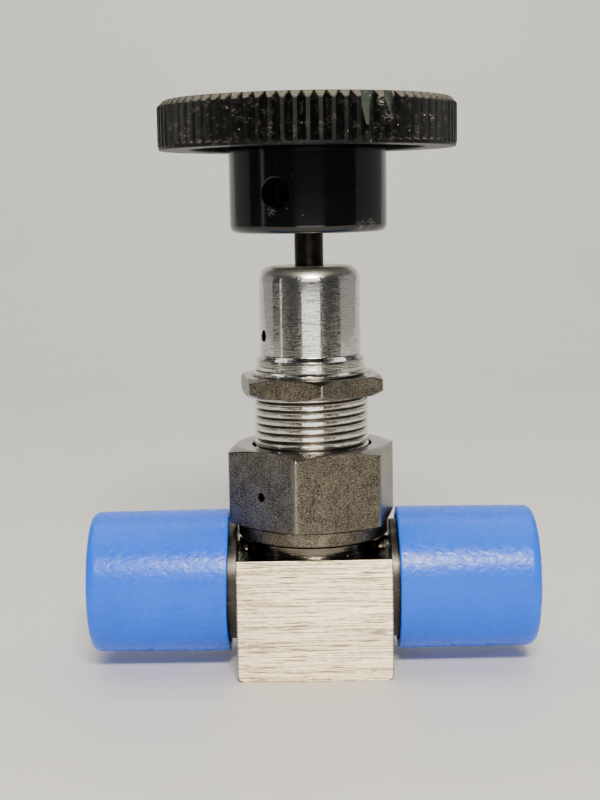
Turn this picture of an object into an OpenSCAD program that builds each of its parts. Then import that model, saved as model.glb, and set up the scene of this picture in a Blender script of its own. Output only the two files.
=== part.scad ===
// Bellows-sealed shut-off valve with a round handwheel and capped threaded ends.
// The valve stands on the flat bottom of its block, with the stem along +Z.
// The flow runs along X and the face that the reader looks at is on the -Y side.
// It is drawn closed, with the stem tip on its seat.

/* [Block] */
// Width of the block along the flow
body_w = 25.4; // [22:0.1:30]
// Depth of the block from front to back
body_d = 25.4; // [24:0.1:30]
// Height of the block
body_h = 20.2; // [19:0.1:26]
// Height of the flow axis above the bottom
port_height = 14.05; // [13.4:0.05:15]
// Round of the block's lower long edges
body_round = 1.1; // [0.5:0.1:2]
// Small bevel on the block's other edges
body_bevel = 0.3; // [0.1:0.05:0.6]

/* [Neck and seat] */
// Outer diameter of the neck's thread
neck_thread_d = 22.2; // [21.6:0.1:22.6]
// Height of the neck above the block
neck_h = 10.4; // [9.5:0.1:13]
// Diameter of the chamber around the seat
chamber_d = 15.2; // [14.4:0.1:16]
// Thickness of metal left under the chamber, above the top of the block's flow bore
chamber_floor = 4.95; // [4.4:0.05:5.4]
// Outer diameter of the raised seat
seat_d = 8.4; // [7.8:0.1:9]
// Height of the raised seat above the chamber floor
seat_h = 1.4; // [1:0.1:2]
// Diameter of the hole through the seat
orifice_d = 4.4; // [3.6:0.1:4.6]
// Diameter of the flow bores inside the block
flow_bore_d = 4.8; // [4.2:0.1:5]
// Diameter of the passage from the chamber down to the outlet bore
riser_d = 2.8; // [2:0.1:3]

/* [Threaded ends] */
// Outer diameter of the end threads
end_thread_d = 22.2; // [21:0.1:23]
// Length of each end from the block's side to its sealing face
end_l = 22.4; // [20:0.1:30]
// Length of the relief between the block and the thread
end_relief_w = 2.2; // [1.8:0.1:3]
// Diameter of the relief
end_relief_d = 19.8; // [18:0.1:20.4]
// Diameter of the spigot that sits in the block
end_spigot_d = 15; // [12:0.1:16]
// Length of the spigot
end_spigot_l = 2; // [1:0.1:3]
// Diameter of the bore through each end
end_bore_d = 7.2; // [5.4:0.1:9]
// Mean diameter of the round sealing bead on the face
bead_d = 13.4; // [11:0.1:15]
// Radius of the bead's section
bead_r = 0.4; // [0.2:0.05:0.6]

/* [Port caps] */
// Wall of a cap at its mouth
cap_wall = 0.85; // [0.7:0.05:2]
// How much smaller the closed end's diameter is than the mouth's
cap_taper = 0.36; // [0:0.02:0.5]
// Room between the sealing face and the closed end
cap_room = 0.8; // [0.5:0.1:4]
// Gap between the block and the mouth of the right cap, more if the nut's corner needs it
cap_gap = 1.3; // [0.8:0.1:2]
// How much less far the left cap is pushed on
cap_offset = 0.2; // [0:0.1:1.5]
// Thickness of the closed end
cap_end_t = 1.2; // [0.8:0.1:1.4]
// Round of the cap's outer edge
cap_round = 1.5; // [0.5:0.1:1.8]
// Running gap between a cap and the thread crests
cap_clear = 0.05; // [0.02:0.01:0.1]

/* [Bonnet nut] */
// Size of the nut across its flats
nut_af = 25.4; // [25:0.1:28]
// Height of the hexagon
nut_hex_h = 12.9; // [11:0.1:13.5]
// Height of the round collar below the hexagon
nut_collar_h = 2.55; // [1.5:0.05:2.8]
// Outer diameter of the collar
nut_collar_d = 25; // [24:0.1:25.4]
// Thickness of the nut's roof
nut_roof = 2.4; // [1.6:0.1:3.2]
// Diameter of the hole in the roof
nut_mouth_d = 19.96; // [19.5:0.02:20.4]
// Angle of the nut's near corner from the front, towards +X
nut_turn = -11.4; // [-30:0.1:30]
// Height of the turned bevel at the hexagon's upper corners
nut_bevel = 0.8; // [0.5:0.05:1.2]
// Diameter of the vent hole in one flat
nut_vent_d = 1.4; // [0.8:0.1:2]
// Height of that vent above the bottom of the hexagon
nut_vent_z = 5.5; // [3:0.1:8]

/* [Bonnet] */
// Outer diameter of the panel-mount thread
bonnet_thread_d = 19.05; // [18.6:0.05:19.3]
// Length of the threaded part above the flange
bonnet_thread_l = 14.9; // [13:0.1:16]
// Diameter of the polished sleeve
bonnet_d = 16.74; // [16.4:0.02:17.6]
// Height of the bonnet above its flange's top face
bonnet_h = 31.94; // [31:0.02:36]
// Round of the bonnet's top edge
bonnet_round = 2; // [1:0.1:2.6]
// Diameter of the two bands above the thread
bonnet_band_d = 18.2; // [17.6:0.1:18.5]
// Diameter of the bore around the bellows
bonnet_bore_d = 14.4; // [14:0.1:14.8]
// Thickness of the clamped flange
flange_t = 2.2; // [1.6:0.1:3]
// Diameter of the flange
flange_d = 21.9; // [21:0.1:22]
// Diameter of the vent hole in the sleeve
bonnet_vent_d = 1.9; // [1:0.1:2.4]
// Distance of that vent below the bonnet's top
bonnet_vent_drop = 11.24; // [10.6:0.02:14]
// Angle of that vent from the front, towards +X
bonnet_vent_turn = -66.6; // [-90:0.1:90]

/* [Panel nut] */
// Size of the panel nut across its flats
panel_af = 22.1; // [21.6:0.1:25]
// Thickness of the panel nut
panel_t = 3.2; // [2.6:0.1:4]
// Height of the turned bevel at the panel nut's corners
panel_bevel = 0.65; // [0.4:0.05:1]
// Gap between the bonnet nut and the panel nut
panel_gap = 8.4; // [7:0.1:9]
// Angle of the panel nut's near corner from the front, towards +X
panel_turn = 8; // [-30:0.1:30]

/* [Stem and bellows] */
// Diameter of the drive stem above its thread
stem_d = 4.76; // [4.4:0.02:5]
// Outer diameter of the drive thread
drive_thread_d = 7.94; // [7:0.02:8.4]
// Length of the drive thread
drive_thread_l = 5.7; // [4:0.1:5.8]
// Travel of the stem from closed to open
stem_travel = 1.905; // [1:0.005:2]
// Thickness of the bonnet's wall around the drive stem at the top
bonnet_lid_t = 1.8; // [1.4:0.1:2.4]
// Depth of the drive thread in the bonnet
drive_bore_l = 8; // [7.9:0.1:9]
// Thickness of the gasket
gasket_t = 0.6; // [0.4:0.1:1]
// Thickness of the bellows ring's flange
ring_t = 1.6; // [1.2:0.1:2.2]
// Height of the hub that carries the bellows
ring_hub_h = 1.6; // [1:0.1:2.4]
// Outer diameter of the bellows
bellows_d = 13.2; // [12:0.1:13.4]
// Inner diameter of the bellows
bellows_bore_d = 8.8; // [8:0.1:9.6]
// Wall of the bellows
bellows_wall = 0.16; // [0.12:0.01:0.2]
// Pitch of the bellows' folds
bellows_pitch = 1.5; // [1.3:0.01:1.5]
// Number of folds
bellows_folds = 11; // [8:1:11]
// Diameter of the inner stem
inner_stem_d = 5.8; // [5:0.1:6.2]
// Diameter of the cup that holds the stem tip
tip_cup_d = 7.6; // [7:0.1:8]
// Diameter of the stem tip
tip_d = 6; // [5.2:0.1:6.4]
// Diameter of the head on top of the inner stem
head_d = 11.6; // [10:0.1:12]
// Height of the head
head_h = 3; // [2.6:0.1:3.4]
// Diameter of the thrust ball
ball_d = 3.2; // [2.4:0.1:3.6]
// Diameter of the guide pin that keeps the head from turning
guide_pin_d = 1.5; // [1:0.1:1.8]

/* [Handwheel] */
// Outer diameter of the rim
wheel_d = 48.7; // [44:0.1:56]
// Height of the rim
wheel_rim_h = 7.8; // [6.5:0.1:10]
// Number of teeth around the rim
wheel_teeth = 80; // [60:1:90]
// Depth of the grooves between the teeth
tooth_depth = 1.05; // [0.7:0.05:1.3]
// Width of a tooth's flat crest
tooth_crest = 0.62; // [0.4:0.02:0.8]
// Bevel on the rim's top edge
wheel_bevel = 1; // [0.5:0.1:1.3]
// Height of the smooth band below the grooves
wheel_band_h = 0.45; // [0.3:0.05:0.8]
// Wall of the rim under the wheel
wheel_rim_t = 5.1; // [4:0.1:6.5]
// Depth of the hollow under the rim
wheel_hollow = 3.4; // [2.4:0.1:4]
// Depth of the dish on top of the wheel
wheel_dish = 0.9; // [0.4:0.1:1.4]
// Diameter of the hub
hub_d = 25.8; // [22:0.1:29]
// Length of the hub below the rim
hub_l = 13.44; // [12:0.02:16]
// Round of the hub's lower edge
hub_round = 1.2; // [0.5:0.1:2]
// Gap between the bonnet and the hub when the valve is closed
hub_gap = 5.46; // [4:0.02:8]
// Diameter of the threaded insert
insert_d = 12.7; // [10:0.1:14]
// Length of the threaded insert
insert_l = 12; // [10.6:0.1:13]
// Diameter of the set screw's thread
set_screw_d = 4.1; // [3:0.1:4.4]
// Length of the set screw
set_screw_l = 6.35; // [5:0.05:8]
// Diameter of the set screw's hole in the hub
set_hole_d = 4.8; // [4.6:0.1:5.6]
// Height of the set screw above the hub's lower face
set_screw_z = 6.35; // [5:0.05:7.5]
// Angle of the set screw from the front, towards +X
set_screw_turn = -24.3; // [-90:0.1:90]

/* [Hidden] */
$fn = 64;

// Angle from a hexagon's corner to the middle of its side
hex_half = 180 / 6;

// Clearances and small cuts that every fit shares
run_clear = 0.05;       // radial gap of a turning or sliding fit
seat_clear = 0.02;      // gap at a seated piece that only touches
cut = 0.5;              // how far a cut runs past the face it opens

// Small forms that two pieces share
tip_l = 3.2;            // length of the stem tip
tip_out = 1;            // how much of the tip stands out of its cup
thread_relief = 0.9;    // how far a turned relief lies below the thread's crests
head_edge = 1;          // metal left outside the head's guide slot

// Heights, from the block's bottom up
chamber_z = port_height + flow_bore_d / 2 + chamber_floor;
seat_z = chamber_z + seat_h;
neck_top = body_h + neck_h;
ring_z = neck_top + gasket_t;
flange_z = ring_z + ring_t;
flange_top = flange_z + flange_t;
nut_top = flange_top + nut_roof;
nut_hex_z = nut_top - nut_hex_h;
nut_collar_z = nut_hex_z - nut_collar_h;
panel_z = nut_top + panel_gap;
thread_top = flange_top + bonnet_thread_l;
bonnet_top = flange_top + bonnet_h;
drive_bore_top = bonnet_top - bonnet_lid_t;
drive_bore_z = drive_bore_top - drive_bore_l;
drive_thread_top = drive_bore_top - stem_travel - 0.2;
bellows_z = flange_z + ring_hub_h;
bellows_l = bellows_folds * bellows_pitch;
head_z = bellows_z + bellows_l;
head_top = head_z + head_h;
hub_z = bonnet_top + hub_gap;
rim_z = hub_z + hub_l;
wheel_top = rim_z + wheel_rim_h;
web_z = rim_z + wheel_hollow;

// Radii that several pieces share
neck_r = neck_thread_d / 2;
nut_bore_r = neck_r + run_clear;
chamber_r = chamber_d / 2;
sleeve_r = bonnet_d / 2;
ring_hub_r = bellows_d / 2 - 0.6;
guide_bore_r = inner_stem_d / 2 + run_clear;
gasket_r0 = chamber_r + 0.6;
gasket_r1 = neck_r - 0.9;
ball_r = ball_d / 2;
socket_depth = head_h - 0.8;
ball_z = head_top - socket_depth + ball_r;
drive_z = ball_z + ball_r + seat_clear;
drive_nose_r = drive_thread_d / 2 - thread_relief;
wheel_r = wheel_d / 2;
hub_r = hub_d / 2;
insert_r = insert_d / 2;
insert_z = hub_z + 0.5;
stem_top = insert_z + insert_l - 0.5;
end_r = end_thread_d / 2;
end_face_x = body_w / 2 + end_l;
cap_bore_r = end_r + cap_clear;
cap_mouth_r = cap_bore_r + cap_wall;
nut_corner_r = nut_af / 2 / cos(hex_half);
nut_reach = nut_corner_r * max([for (k = [0:5]) sin(nut_turn + 2 * hex_half * k)]);
cap_mouth_x = max(body_w / 2 + cap_gap, nut_reach + 2 * run_clear);
cap_end_x = end_face_x + cap_room;

// Colours, as the parts look
STEEL = [0.72, 0.71, 0.68];
BRUSHED = [0.84, 0.82, 0.77];
TUMBLED = [0.42, 0.40, 0.37];
POLISHED = [0.80, 0.80, 0.80];
PHENOLIC = [0.04, 0.04, 0.045];
BLACK_OXIDE = [0.10, 0.10, 0.10];
BRASS = [0.72, 0.58, 0.30];
CAP_BLUE = [0.20, 0.50, 0.85];
TIP_WHITE = [0.90, 0.89, 0.84];
SILVER = [0.86, 0.86, 0.87];

// A rectangle in the profile plane, from radius r0 to r1 and from height z0 to z1
module band(r0, r1, z0, z1) {
    translate([r0, z0]) square([r1 - r0, z1 - z0]);
}

// A plain ring turned about Z
module ring(r0, r1, z0, z1) {
    rotate_extrude() band(r0, r1, z0, z1);
}

// A round bar along Z
module bar(r, z0, z1) {
    translate([0, 0, z0]) cylinder(r = r, h = z1 - z0);
}

// A profile from the axis out to r1, whose upper outer corner has the round rr
module round_top(r1, z0, z1, rr) {
    band(0, r1, z0, z1 - rr);
    band(0, r1 - rr, z0, z1);
    intersection() {
        translate([r1 - rr, z1 - rr]) circle(r = rr);
        band(r1 - rr, r1, z1 - rr, z1);
    }
}

// The same with the round at the lower outer corner
module round_bottom(r1, z0, z1, rr) {
    translate([0, z0 + z1]) mirror([0, 1]) round_top(r1, z0, z1, rr);
}

// A drilled hole that leaves the Z axis sideways at a given angle from the front
module side_drill(r, z, turn, from, to) {
    rotate([0, 0, turn]) translate([0, -from, z]) rotate([90, 0, 0]) cylinder(r = r, h = to - from);
}

// A hexagon nut blank with both rims turned down at the corners
module hex_blank(af, z0, z1, turn, low, high) {
    corner_r = af / 2 / cos(hex_half);
    face_r = af / 2 - 0.15;
    intersection() {
        rotate([0, 0, turn - 90]) translate([0, 0, z0]) cylinder(r = corner_r, h = z1 - z0, $fn = 6);
        rotate_extrude()
            polygon([
                [0, z0], [face_r, z0], [corner_r + 0.01, z0 + low],
                [corner_r + 0.01, z1 - high], [face_r, z1], [0, z1]
            ]);
    }
}

// The block's outline seen along one horizontal axis
module block_outline(w, rr) {
    bv = body_bevel;
    polygon([
        [-w / 2, rr], [w / 2, rr], [w / 2, body_h - bv], [w / 2 - bv, body_h],
        [-w / 2 + bv, body_h], [-w / 2, body_h - bv]
    ]);
    translate([-w / 2 + rr, 0]) square([w - 2 * rr, rr]);
    for (s = [-1, 1])
        intersection() {
            translate([s * (w / 2 - rr), rr]) circle(r = rr);
            translate([s * (w / 2 - rr / 2) - rr / 2, 0]) square(rr);
        }
}

// The machined block with its neck, seat and flow passages
module valve_body() {
    color(BRUSHED) difference() {
        union() {
            intersection() {
                translate([0, body_d / 2, 0]) rotate([90, 0, 0])
                    linear_extrude(body_d) block_outline(body_w, body_round);
                translate([-body_w / 2, 0, 0]) rotate([90, 0, 90])
                    linear_extrude(body_w) block_outline(body_d, body_bevel);
                linear_extrude(body_h) block_plan();
            }
            rotate_extrude() neck_profile();
        }
        // Chamber round the raised seat
        difference() {
            bar(chamber_r, chamber_z, neck_top + cut);
            bar(seat_d / 2, chamber_z - cut, seat_z);
        }
        // Inlet along -X, up through the seat
        bar(orifice_d / 2, port_height, seat_z + cut);
        along_x(flow_bore_d / 2, -body_w / 2 - cut, orifice_d / 2);
        // Outlet along +X, up to the chamber beside the seat
        translate([outlet_x(), 0, 0]) bar(riser_d / 2, port_height, chamber_z + cut);
        along_x(flow_bore_d / 2, outlet_x() - riser_d / 2, body_w / 2 + cut);
        for (s = [-1, 1]) mirror([s < 0 ? 1 : 0, 0, 0])
            along_x(end_spigot_d / 2, body_w / 2 - end_spigot_l, body_w / 2 + cut);
    }
}

// Distance of the outlet riser from the axis, in the middle of the chamber's floor
function outlet_x() = (seat_d / 2 + chamber_r) / 2;

// The block's plan with bevelled upright edges
module block_plan() {
    w = body_w / 2;
    d = body_d / 2;
    bv = body_bevel;
    polygon([
        [-w + bv, -d], [w - bv, -d], [w, -d + bv], [w, d - bv],
        [w - bv, d], [-w + bv, d], [-w, d - bv], [-w, -d + bv]
    ]);
}

// The neck with a small cove at its root and a bevelled top
module neck_profile() {
    cove = 0.4;
    bevel = 0.5;
    polygon([
        [0, body_h - 1], [neck_r + cove, body_h - 1], [neck_r + cove, body_h + cove / 2],
        [neck_r, body_h + cove], [neck_r, neck_top - bevel], [neck_r - bevel, neck_top],
        [0, neck_top]
    ]);
}

// A bar along X at the height of the flow axis
module along_x(r, x0, x1) {
    translate([x0, 0, port_height]) rotate([0, 90, 0]) cylinder(r = r, h = x1 - x0);
}

// A profile of radius against distance from the middle, turned about the +X flow axis
module turned_on_x() {
    translate([0, 0, port_height]) rotate([0, 90, 0]) rotate_extrude() children();
}

// One threaded end, drawn on the +X side
module threaded_end() {
    x0 = body_w / 2;
    bevel = 1;
    difference() {
        turned_on_x() {
            polygon([
                [0, x0 - end_spigot_l], [end_spigot_d / 2, x0 - end_spigot_l],
                [end_spigot_d / 2, x0], [end_relief_d / 2, x0],
                [end_relief_d / 2, x0 + end_relief_w],
                [end_r - 0.2, x0 + end_relief_w + 0.6], [end_r, x0 + end_relief_w + 0.8],
                [end_r, end_face_x - bevel], [end_r - bevel, end_face_x], [0, end_face_x]
            ]);
            translate([bead_d / 2, end_face_x]) circle(r = bead_r);
        }
        along_x(end_bore_d / 2, x0 - end_spigot_l - cut, end_face_x + cut);
    }
}

module left_end() {
    color(POLISHED) mirror([1, 0, 0]) threaded_end();
}

module right_end() {
    color(POLISHED) threaded_end();
}

// Flat gasket between the neck and the bellows ring
module body_gasket() {
    color(SILVER) ring(gasket_r0, gasket_r1, neck_top, ring_z);
}

// Flanged ring that carries the lower end of the bellows and guides the stem
module bellows_ring() {
    color(STEEL) rotate_extrude() {
        band(guide_bore_r, neck_r - 0.5, ring_z, flange_z);
        band(guide_bore_r, ring_hub_r, flange_z, bellows_z);
        band(guide_bore_r, chamber_r - 0.3, ring_z - 1.4, ring_z);
    }
}

// Half of a thin round fold, open towards the axis or away from it
module fold_arc(r, z, side) {
    fold_r = bellows_pitch / 4;
    w = bellows_wall / 2;
    translate([r, z]) intersection() {
        difference() {
            circle(r = fold_r + w, $fn = 32);
            circle(r = fold_r - w, $fn = 32);
        }
        translate([side > 0 ? 0 : -2 * fold_r, -2 * fold_r]) square([2 * fold_r, 4 * fold_r]);
    }
}

// The bellows: thin discs joined by round folds at the outside and at the inside
module bellows() {
    fold_r = bellows_pitch / 4;
    w = bellows_wall / 2;
    r_out = bellows_d / 2 - fold_r - w;
    r_in = bellows_bore_d / 2 + fold_r + w;
    weld_t = bellows_wall;
    color(STEEL) rotate_extrude() {
        for (i = [0 : bellows_folds - 1]) {
            z = bellows_z + i * bellows_pitch + bellows_pitch / 2;
            fold_arc(r_out, z, 1);
            for (s = [-1, 1]) band(r_in, r_out, z + s * fold_r - w, z + s * fold_r + w);
            if (i > 0) fold_arc(r_in, z - bellows_pitch / 2, -1);
        }
        // Weld rims that join the end folds to the ring and to the head
        band(bellows_bore_d / 2, r_in + 0.3, bellows_z, bellows_z + fold_r + w);
        band(bellows_bore_d / 2, r_in + 0.3, head_z - fold_r - w, head_z);
    }
}

// The bonnet: flange, panel-mount thread, two bands and the polished sleeve
module bonnet() {
    band_r = bonnet_band_d / 2;
    thread_r = bonnet_thread_d / 2;
    relief_r = thread_r - thread_relief;
    color(POLISHED) difference() {
        rotate_extrude() {
            band(0, flange_d / 2, flange_z, flange_top);
            band(0, relief_r, flange_top, flange_top + 0.8);
            polygon([
                [0, flange_top + 0.5], [relief_r, flange_top + 0.5],
                [thread_r, flange_top + 1.4], [thread_r, thread_top - 0.4],
                [band_r, thread_top], [band_r, thread_top + 0.7],
                [band_r - 0.25, thread_top + 0.85], [band_r - 0.25, thread_top + 1],
                [band_r - 0.05, thread_top + 1.2], [band_r - 0.1, thread_top + 1.8],
                [sleeve_r, thread_top + 2.5], [0, thread_top + 2.5]
            ]);
            round_top(sleeve_r, thread_top + 1, bonnet_top, bonnet_round);
        }
        bar(bonnet_bore_d / 2, flange_z - cut, drive_bore_z);
        bar(drive_thread_d / 2 + run_clear, drive_bore_z - cut, drive_bore_top);
        bar(stem_d / 2 + run_clear, drive_bore_top - cut, bonnet_top + cut);
        side_drill(
            bonnet_vent_d / 2, bonnet_top - bonnet_vent_drop, bonnet_vent_turn,
            bonnet_bore_d / 2 - cut, sleeve_r + cut
        );
        guide_pin_hole();
    }
}

// The blind hole for the guide pin, on the far side of the bore
module guide_pin_hole() {
    side_drill(guide_pin_d / 2, guide_pin_z(), 180, bonnet_bore_d / 2 - cut, pin_seat_r());
}

// Height of the guide pin, inside the head's slot at both ends of its travel
function guide_pin_z() = head_z + head_h / 2 + stem_travel / 2;

// How far out the guide pin's hole reaches into the bonnet's wall
function pin_seat_r() = bonnet_bore_d / 2 + 0.6;

// Pin fixed in the bonnet that runs in the head's slot
module guide_pin() {
    color(STEEL)
        side_drill(guide_pin_d / 2, guide_pin_z(), 180, head_d / 2 - head_edge, pin_seat_r());
}

// Union nut that clamps the bonnet to the neck
module bonnet_nut() {
    bevel = 0.35;
    collar_r = nut_collar_d / 2;
    color(TUMBLED) difference() {
        union() {
            hex_blank(nut_af, nut_hex_z, nut_top, nut_turn, nut_bevel / 2, nut_bevel);
            rotate_extrude() polygon([
                [0, nut_collar_z], [collar_r - bevel, nut_collar_z],
                [collar_r, nut_collar_z + bevel], [collar_r, nut_hex_z + 1], [0, nut_hex_z + 1]
            ]);
        }
        bar(nut_bore_r, nut_collar_z - cut, flange_top);
        bar(nut_mouth_d / 2, flange_top - cut, nut_top + cut);
        side_drill(
            nut_vent_d / 2, nut_hex_z + nut_vent_z, nut_turn - hex_half, nut_bore_r - cut,
            nut_af / 2 + cut
        );
    }
}

// Non-rotating stem that runs through the bellows, with a cup for the tip
module inner_stem() {
    cup_z = seat_z + tip_out;
    cup_h = 3;
    cone_h = 1;
    color(STEEL) difference() {
        rotate_extrude() {
            band(0, inner_stem_d / 2, cup_z, head_z);
            polygon([
                [0, cup_z], [tip_cup_d / 2, cup_z], [tip_cup_d / 2, cup_z + cup_h],
                [inner_stem_d / 2, cup_z + cup_h + cone_h], [0, cup_z + cup_h + cone_h]
            ]);
        }
        bar(tip_d / 2, cup_z - cut, seat_z + tip_l);
    }
}

// Plastic tip held in the stem's cup, flat on the seat when the valve is closed
module stem_tip() {
    nose = 0.5;
    color(TIP_WHITE) rotate_extrude() polygon([
        [0, seat_z], [tip_d / 2 - nose, seat_z], [tip_d / 2, seat_z + nose],
        [tip_d / 2, seat_z + tip_l], [0, seat_z + tip_l]
    ]);
}

// Head welded to the upper end of the bellows, with a ball socket and a guide slot
module bellows_head() {
    slot_w = guide_pin_d + 2 * run_clear;
    slot_r = head_d / 2 - head_edge - run_clear;
    color(STEEL) difference() {
        bar(head_d / 2, head_z, head_top);
        bar(ball_r + run_clear, head_top - socket_depth, head_top + cut);
        translate([-slot_w / 2, slot_r, head_z - cut])
            cube([slot_w, head_d / 2, head_h + 2 * cut]);
    }
}

// Ball that passes the thrust of the turning stem to the head
module thrust_ball() {
    color(STEEL) translate([0, 0, ball_z]) sphere(r = ball_r);
}

// Turned stem with the drive thread, from the ball up into the handwheel
module drive_stem() {
    step = 0.4;
    color(BLACK_OXIDE) rotate_extrude() {
        band(0, drive_nose_r, drive_z, drive_thread_top);
        band(0, drive_thread_d / 2, drive_thread_top - drive_thread_l, drive_thread_top);
        band(0, stem_d / 2, drive_thread_top, stem_top - step);
        band(0, stem_d / 2 - step, drive_thread_top, stem_top);
    }
}

// Points of the toothed rim: each tooth has a flat crest, and V grooves lie between
function tooth_points() = [
    for (i = [0 : wheel_teeth - 1])
        let (
            step = 360 / wheel_teeth,
            half = asin(tooth_crest / 2 / wheel_r)
        )
        each [
            [wheel_r * cos(i * step - half), wheel_r * sin(i * step - half)],
            [wheel_r * cos(i * step + half), wheel_r * sin(i * step + half)],
            [
                (wheel_r - tooth_depth) * cos((i + 0.5) * step),
                (wheel_r - tooth_depth) * sin((i + 0.5) * step)
            ]
        ]
];

// Moulded handwheel: knurled rim, thin web with a dish, and a plain hub
module handwheel() {
    hollow_r = wheel_r - wheel_rim_t;
    dish_r = wheel_r - wheel_rim_t + 0.9;
    root_r = wheel_r - tooth_depth;
    fillet = 1.4;
    color(PHENOLIC) difference() {
        union() {
            // Toothed rim, bevelled at the top
            intersection() {
                translate([0, 0, rim_z + wheel_band_h])
                    linear_extrude(wheel_rim_h - wheel_band_h) polygon(tooth_points());
                rotate_extrude() polygon([
                    [0, rim_z], [wheel_r + 0.1, rim_z], [wheel_r + 0.1, wheel_top - wheel_bevel - 0.1],
                    [wheel_r - wheel_bevel, wheel_top], [0, wheel_top]
                ]);
            }
            // Smooth band under the teeth
            rotate_extrude() round_bottom(
                wheel_r - 0.15, rim_z, rim_z + wheel_band_h + 0.35, wheel_band_h
            );
            rotate_extrude() band(0, root_r, rim_z + wheel_band_h, wheel_top - 1);
            // Hub
            rotate_extrude() {
                round_bottom(hub_r, hub_z, rim_z + 1, hub_round);
                band(0, hub_r, rim_z, web_z + 1);
            }
        }
        // Hollow under the rim, with a cove round the hub
        rotate_extrude() difference() {
            band(hub_r, hollow_r, rim_z - cut, web_z);
            translate([hub_r, web_z - fillet]) difference() {
                square(fillet);
                translate([fillet, 0]) circle(r = fillet);
            }
        }
        // Shallow dish on top
        rotate_extrude() polygon([
            [0, wheel_top - wheel_dish], [dish_r - 1.2, wheel_top - wheel_dish],
            [dish_r, wheel_top], [dish_r, wheel_top + cut], [0, wheel_top + cut]
        ]);
        // Bore for the insert, and the set screw's hole
        bar(insert_r, insert_z, insert_z + insert_l);
        bar(stem_d / 2 + 0.6, hub_z - cut, insert_z + cut);
        side_drill(set_hole_d / 2, hub_z + set_screw_z, set_screw_turn, insert_r - cut, hub_r + cut);
    }
}

// Threaded metal insert moulded into the hub
module handle_insert() {
    color(BRASS) difference() {
        bar(insert_r, insert_z, insert_z + insert_l);
        bar(stem_d / 2 + seat_clear, insert_z - cut, stem_top + seat_clear);
        side_drill(set_screw_d / 2, hub_z + set_screw_z, set_screw_turn, 0, insert_r + cut);
    }
}

// Socket set screw that holds the wheel on the stem
module set_screw() {
    r0 = stem_d / 2 + seat_clear;
    r1 = r0 + set_screw_l;
    key_af = set_screw_d / 2;
    color(BLACK_OXIDE) difference() {
        side_drill(set_screw_d / 2, hub_z + set_screw_z, set_screw_turn, r0, r1);
        rotate([0, 0, set_screw_turn]) translate([0, -r1 + set_screw_l * 0.4, hub_z + set_screw_z])
            rotate([90, 0, 0]) cylinder(r = key_af / 2 / cos(hex_half), h = set_screw_l, $fn = 6);
    }
}

// Thin nut that clamps the valve in a panel
module panel_nut() {
    bevel = 0.4;
    bore_r = bonnet_thread_d / 2 + run_clear;
    color(TUMBLED) difference() {
        hex_blank(panel_af, panel_z, panel_z + panel_t, panel_turn, panel_bevel, panel_bevel);
        bar(bore_r, panel_z - cut, panel_z + panel_t + cut);
        for (z = [panel_z, panel_z + panel_t - bevel])
            rotate_extrude() polygon(z == panel_z
                ? [[0, z - 0.01], [bore_r + bevel, z - 0.01], [bore_r - 0.01, z + bevel], [0, z + bevel]]
                : [[0, z], [bore_r - 0.01, z], [bore_r + bevel, z + bevel + 0.01], [0, z + bevel + 0.01]]);
    }
}

// One push-on cap, drawn on the +X side and pushed fully on
module port_cap() {
    x0 = cap_mouth_x;
    x1 = cap_end_x + cap_end_t;
    r0 = cap_mouth_r;
    r1 = cap_mouth_r - cap_taper / 2;
    difference() {
        turned_on_x() {
            polygon([
                [0, x0], [r0 - 0.2, x0], [r0, x0 + 0.2], [r1, x1 - cap_round], [0, x1 - cap_round]
            ]);
            round_top(r1, x1 - cap_round - 0.5, x1, cap_round);
        }
        turned_on_x() band(0, cap_bore_r, x0 - cut, cap_end_x);
    }
}

module left_cap() {
    color(CAP_BLUE) translate([-cap_offset, 0, 0]) mirror([1, 0, 0]) port_cap();
}

module right_cap() {
    color(CAP_BLUE) port_cap();
}

valve_body();
left_end();
right_end();
body_gasket();
bellows_ring();
bellows();
bonnet();
guide_pin();
bonnet_nut();
inner_stem();
bellows_head();
stem_tip();
thrust_ball();
drive_stem();
handwheel();
handle_insert();
set_screw();
panel_nut();
left_cap();
right_cap();
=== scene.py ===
"""Looks of a bellows-sealed shut-off valve with a knurled handwheel and two capped threaded ends.

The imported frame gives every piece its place: the stem runs along +Z, the flow along X, and the front
is on the -Y side. Lengths in this script are millimetres until a mesh is made, where they become metres.
Angles round the stem are measured from the front, towards +X.
"""

import logging
import math
from dataclasses import dataclass, field
from enum import Enum
from functools import partial
from typing import Any

import bmesh
import bpy
import numpy as np
from mathutils import Matrix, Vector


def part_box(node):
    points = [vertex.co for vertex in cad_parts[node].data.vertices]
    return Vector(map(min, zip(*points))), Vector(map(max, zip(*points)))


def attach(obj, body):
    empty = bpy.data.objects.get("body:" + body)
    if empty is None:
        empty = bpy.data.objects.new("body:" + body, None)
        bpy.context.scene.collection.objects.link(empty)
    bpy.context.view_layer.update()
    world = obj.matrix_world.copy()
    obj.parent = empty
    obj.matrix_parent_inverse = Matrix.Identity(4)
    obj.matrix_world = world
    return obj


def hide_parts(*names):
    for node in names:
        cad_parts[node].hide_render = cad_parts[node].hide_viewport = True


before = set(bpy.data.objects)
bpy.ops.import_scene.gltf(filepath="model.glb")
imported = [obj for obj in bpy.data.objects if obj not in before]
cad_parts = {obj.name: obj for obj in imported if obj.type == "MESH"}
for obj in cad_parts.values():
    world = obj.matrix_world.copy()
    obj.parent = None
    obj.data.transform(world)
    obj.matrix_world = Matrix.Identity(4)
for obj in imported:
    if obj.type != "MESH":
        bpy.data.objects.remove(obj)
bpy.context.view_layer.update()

LOG = logging.getLogger("valve")
MM = 0.001
TURN = 2 * math.pi
TINY = 1e-9

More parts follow.
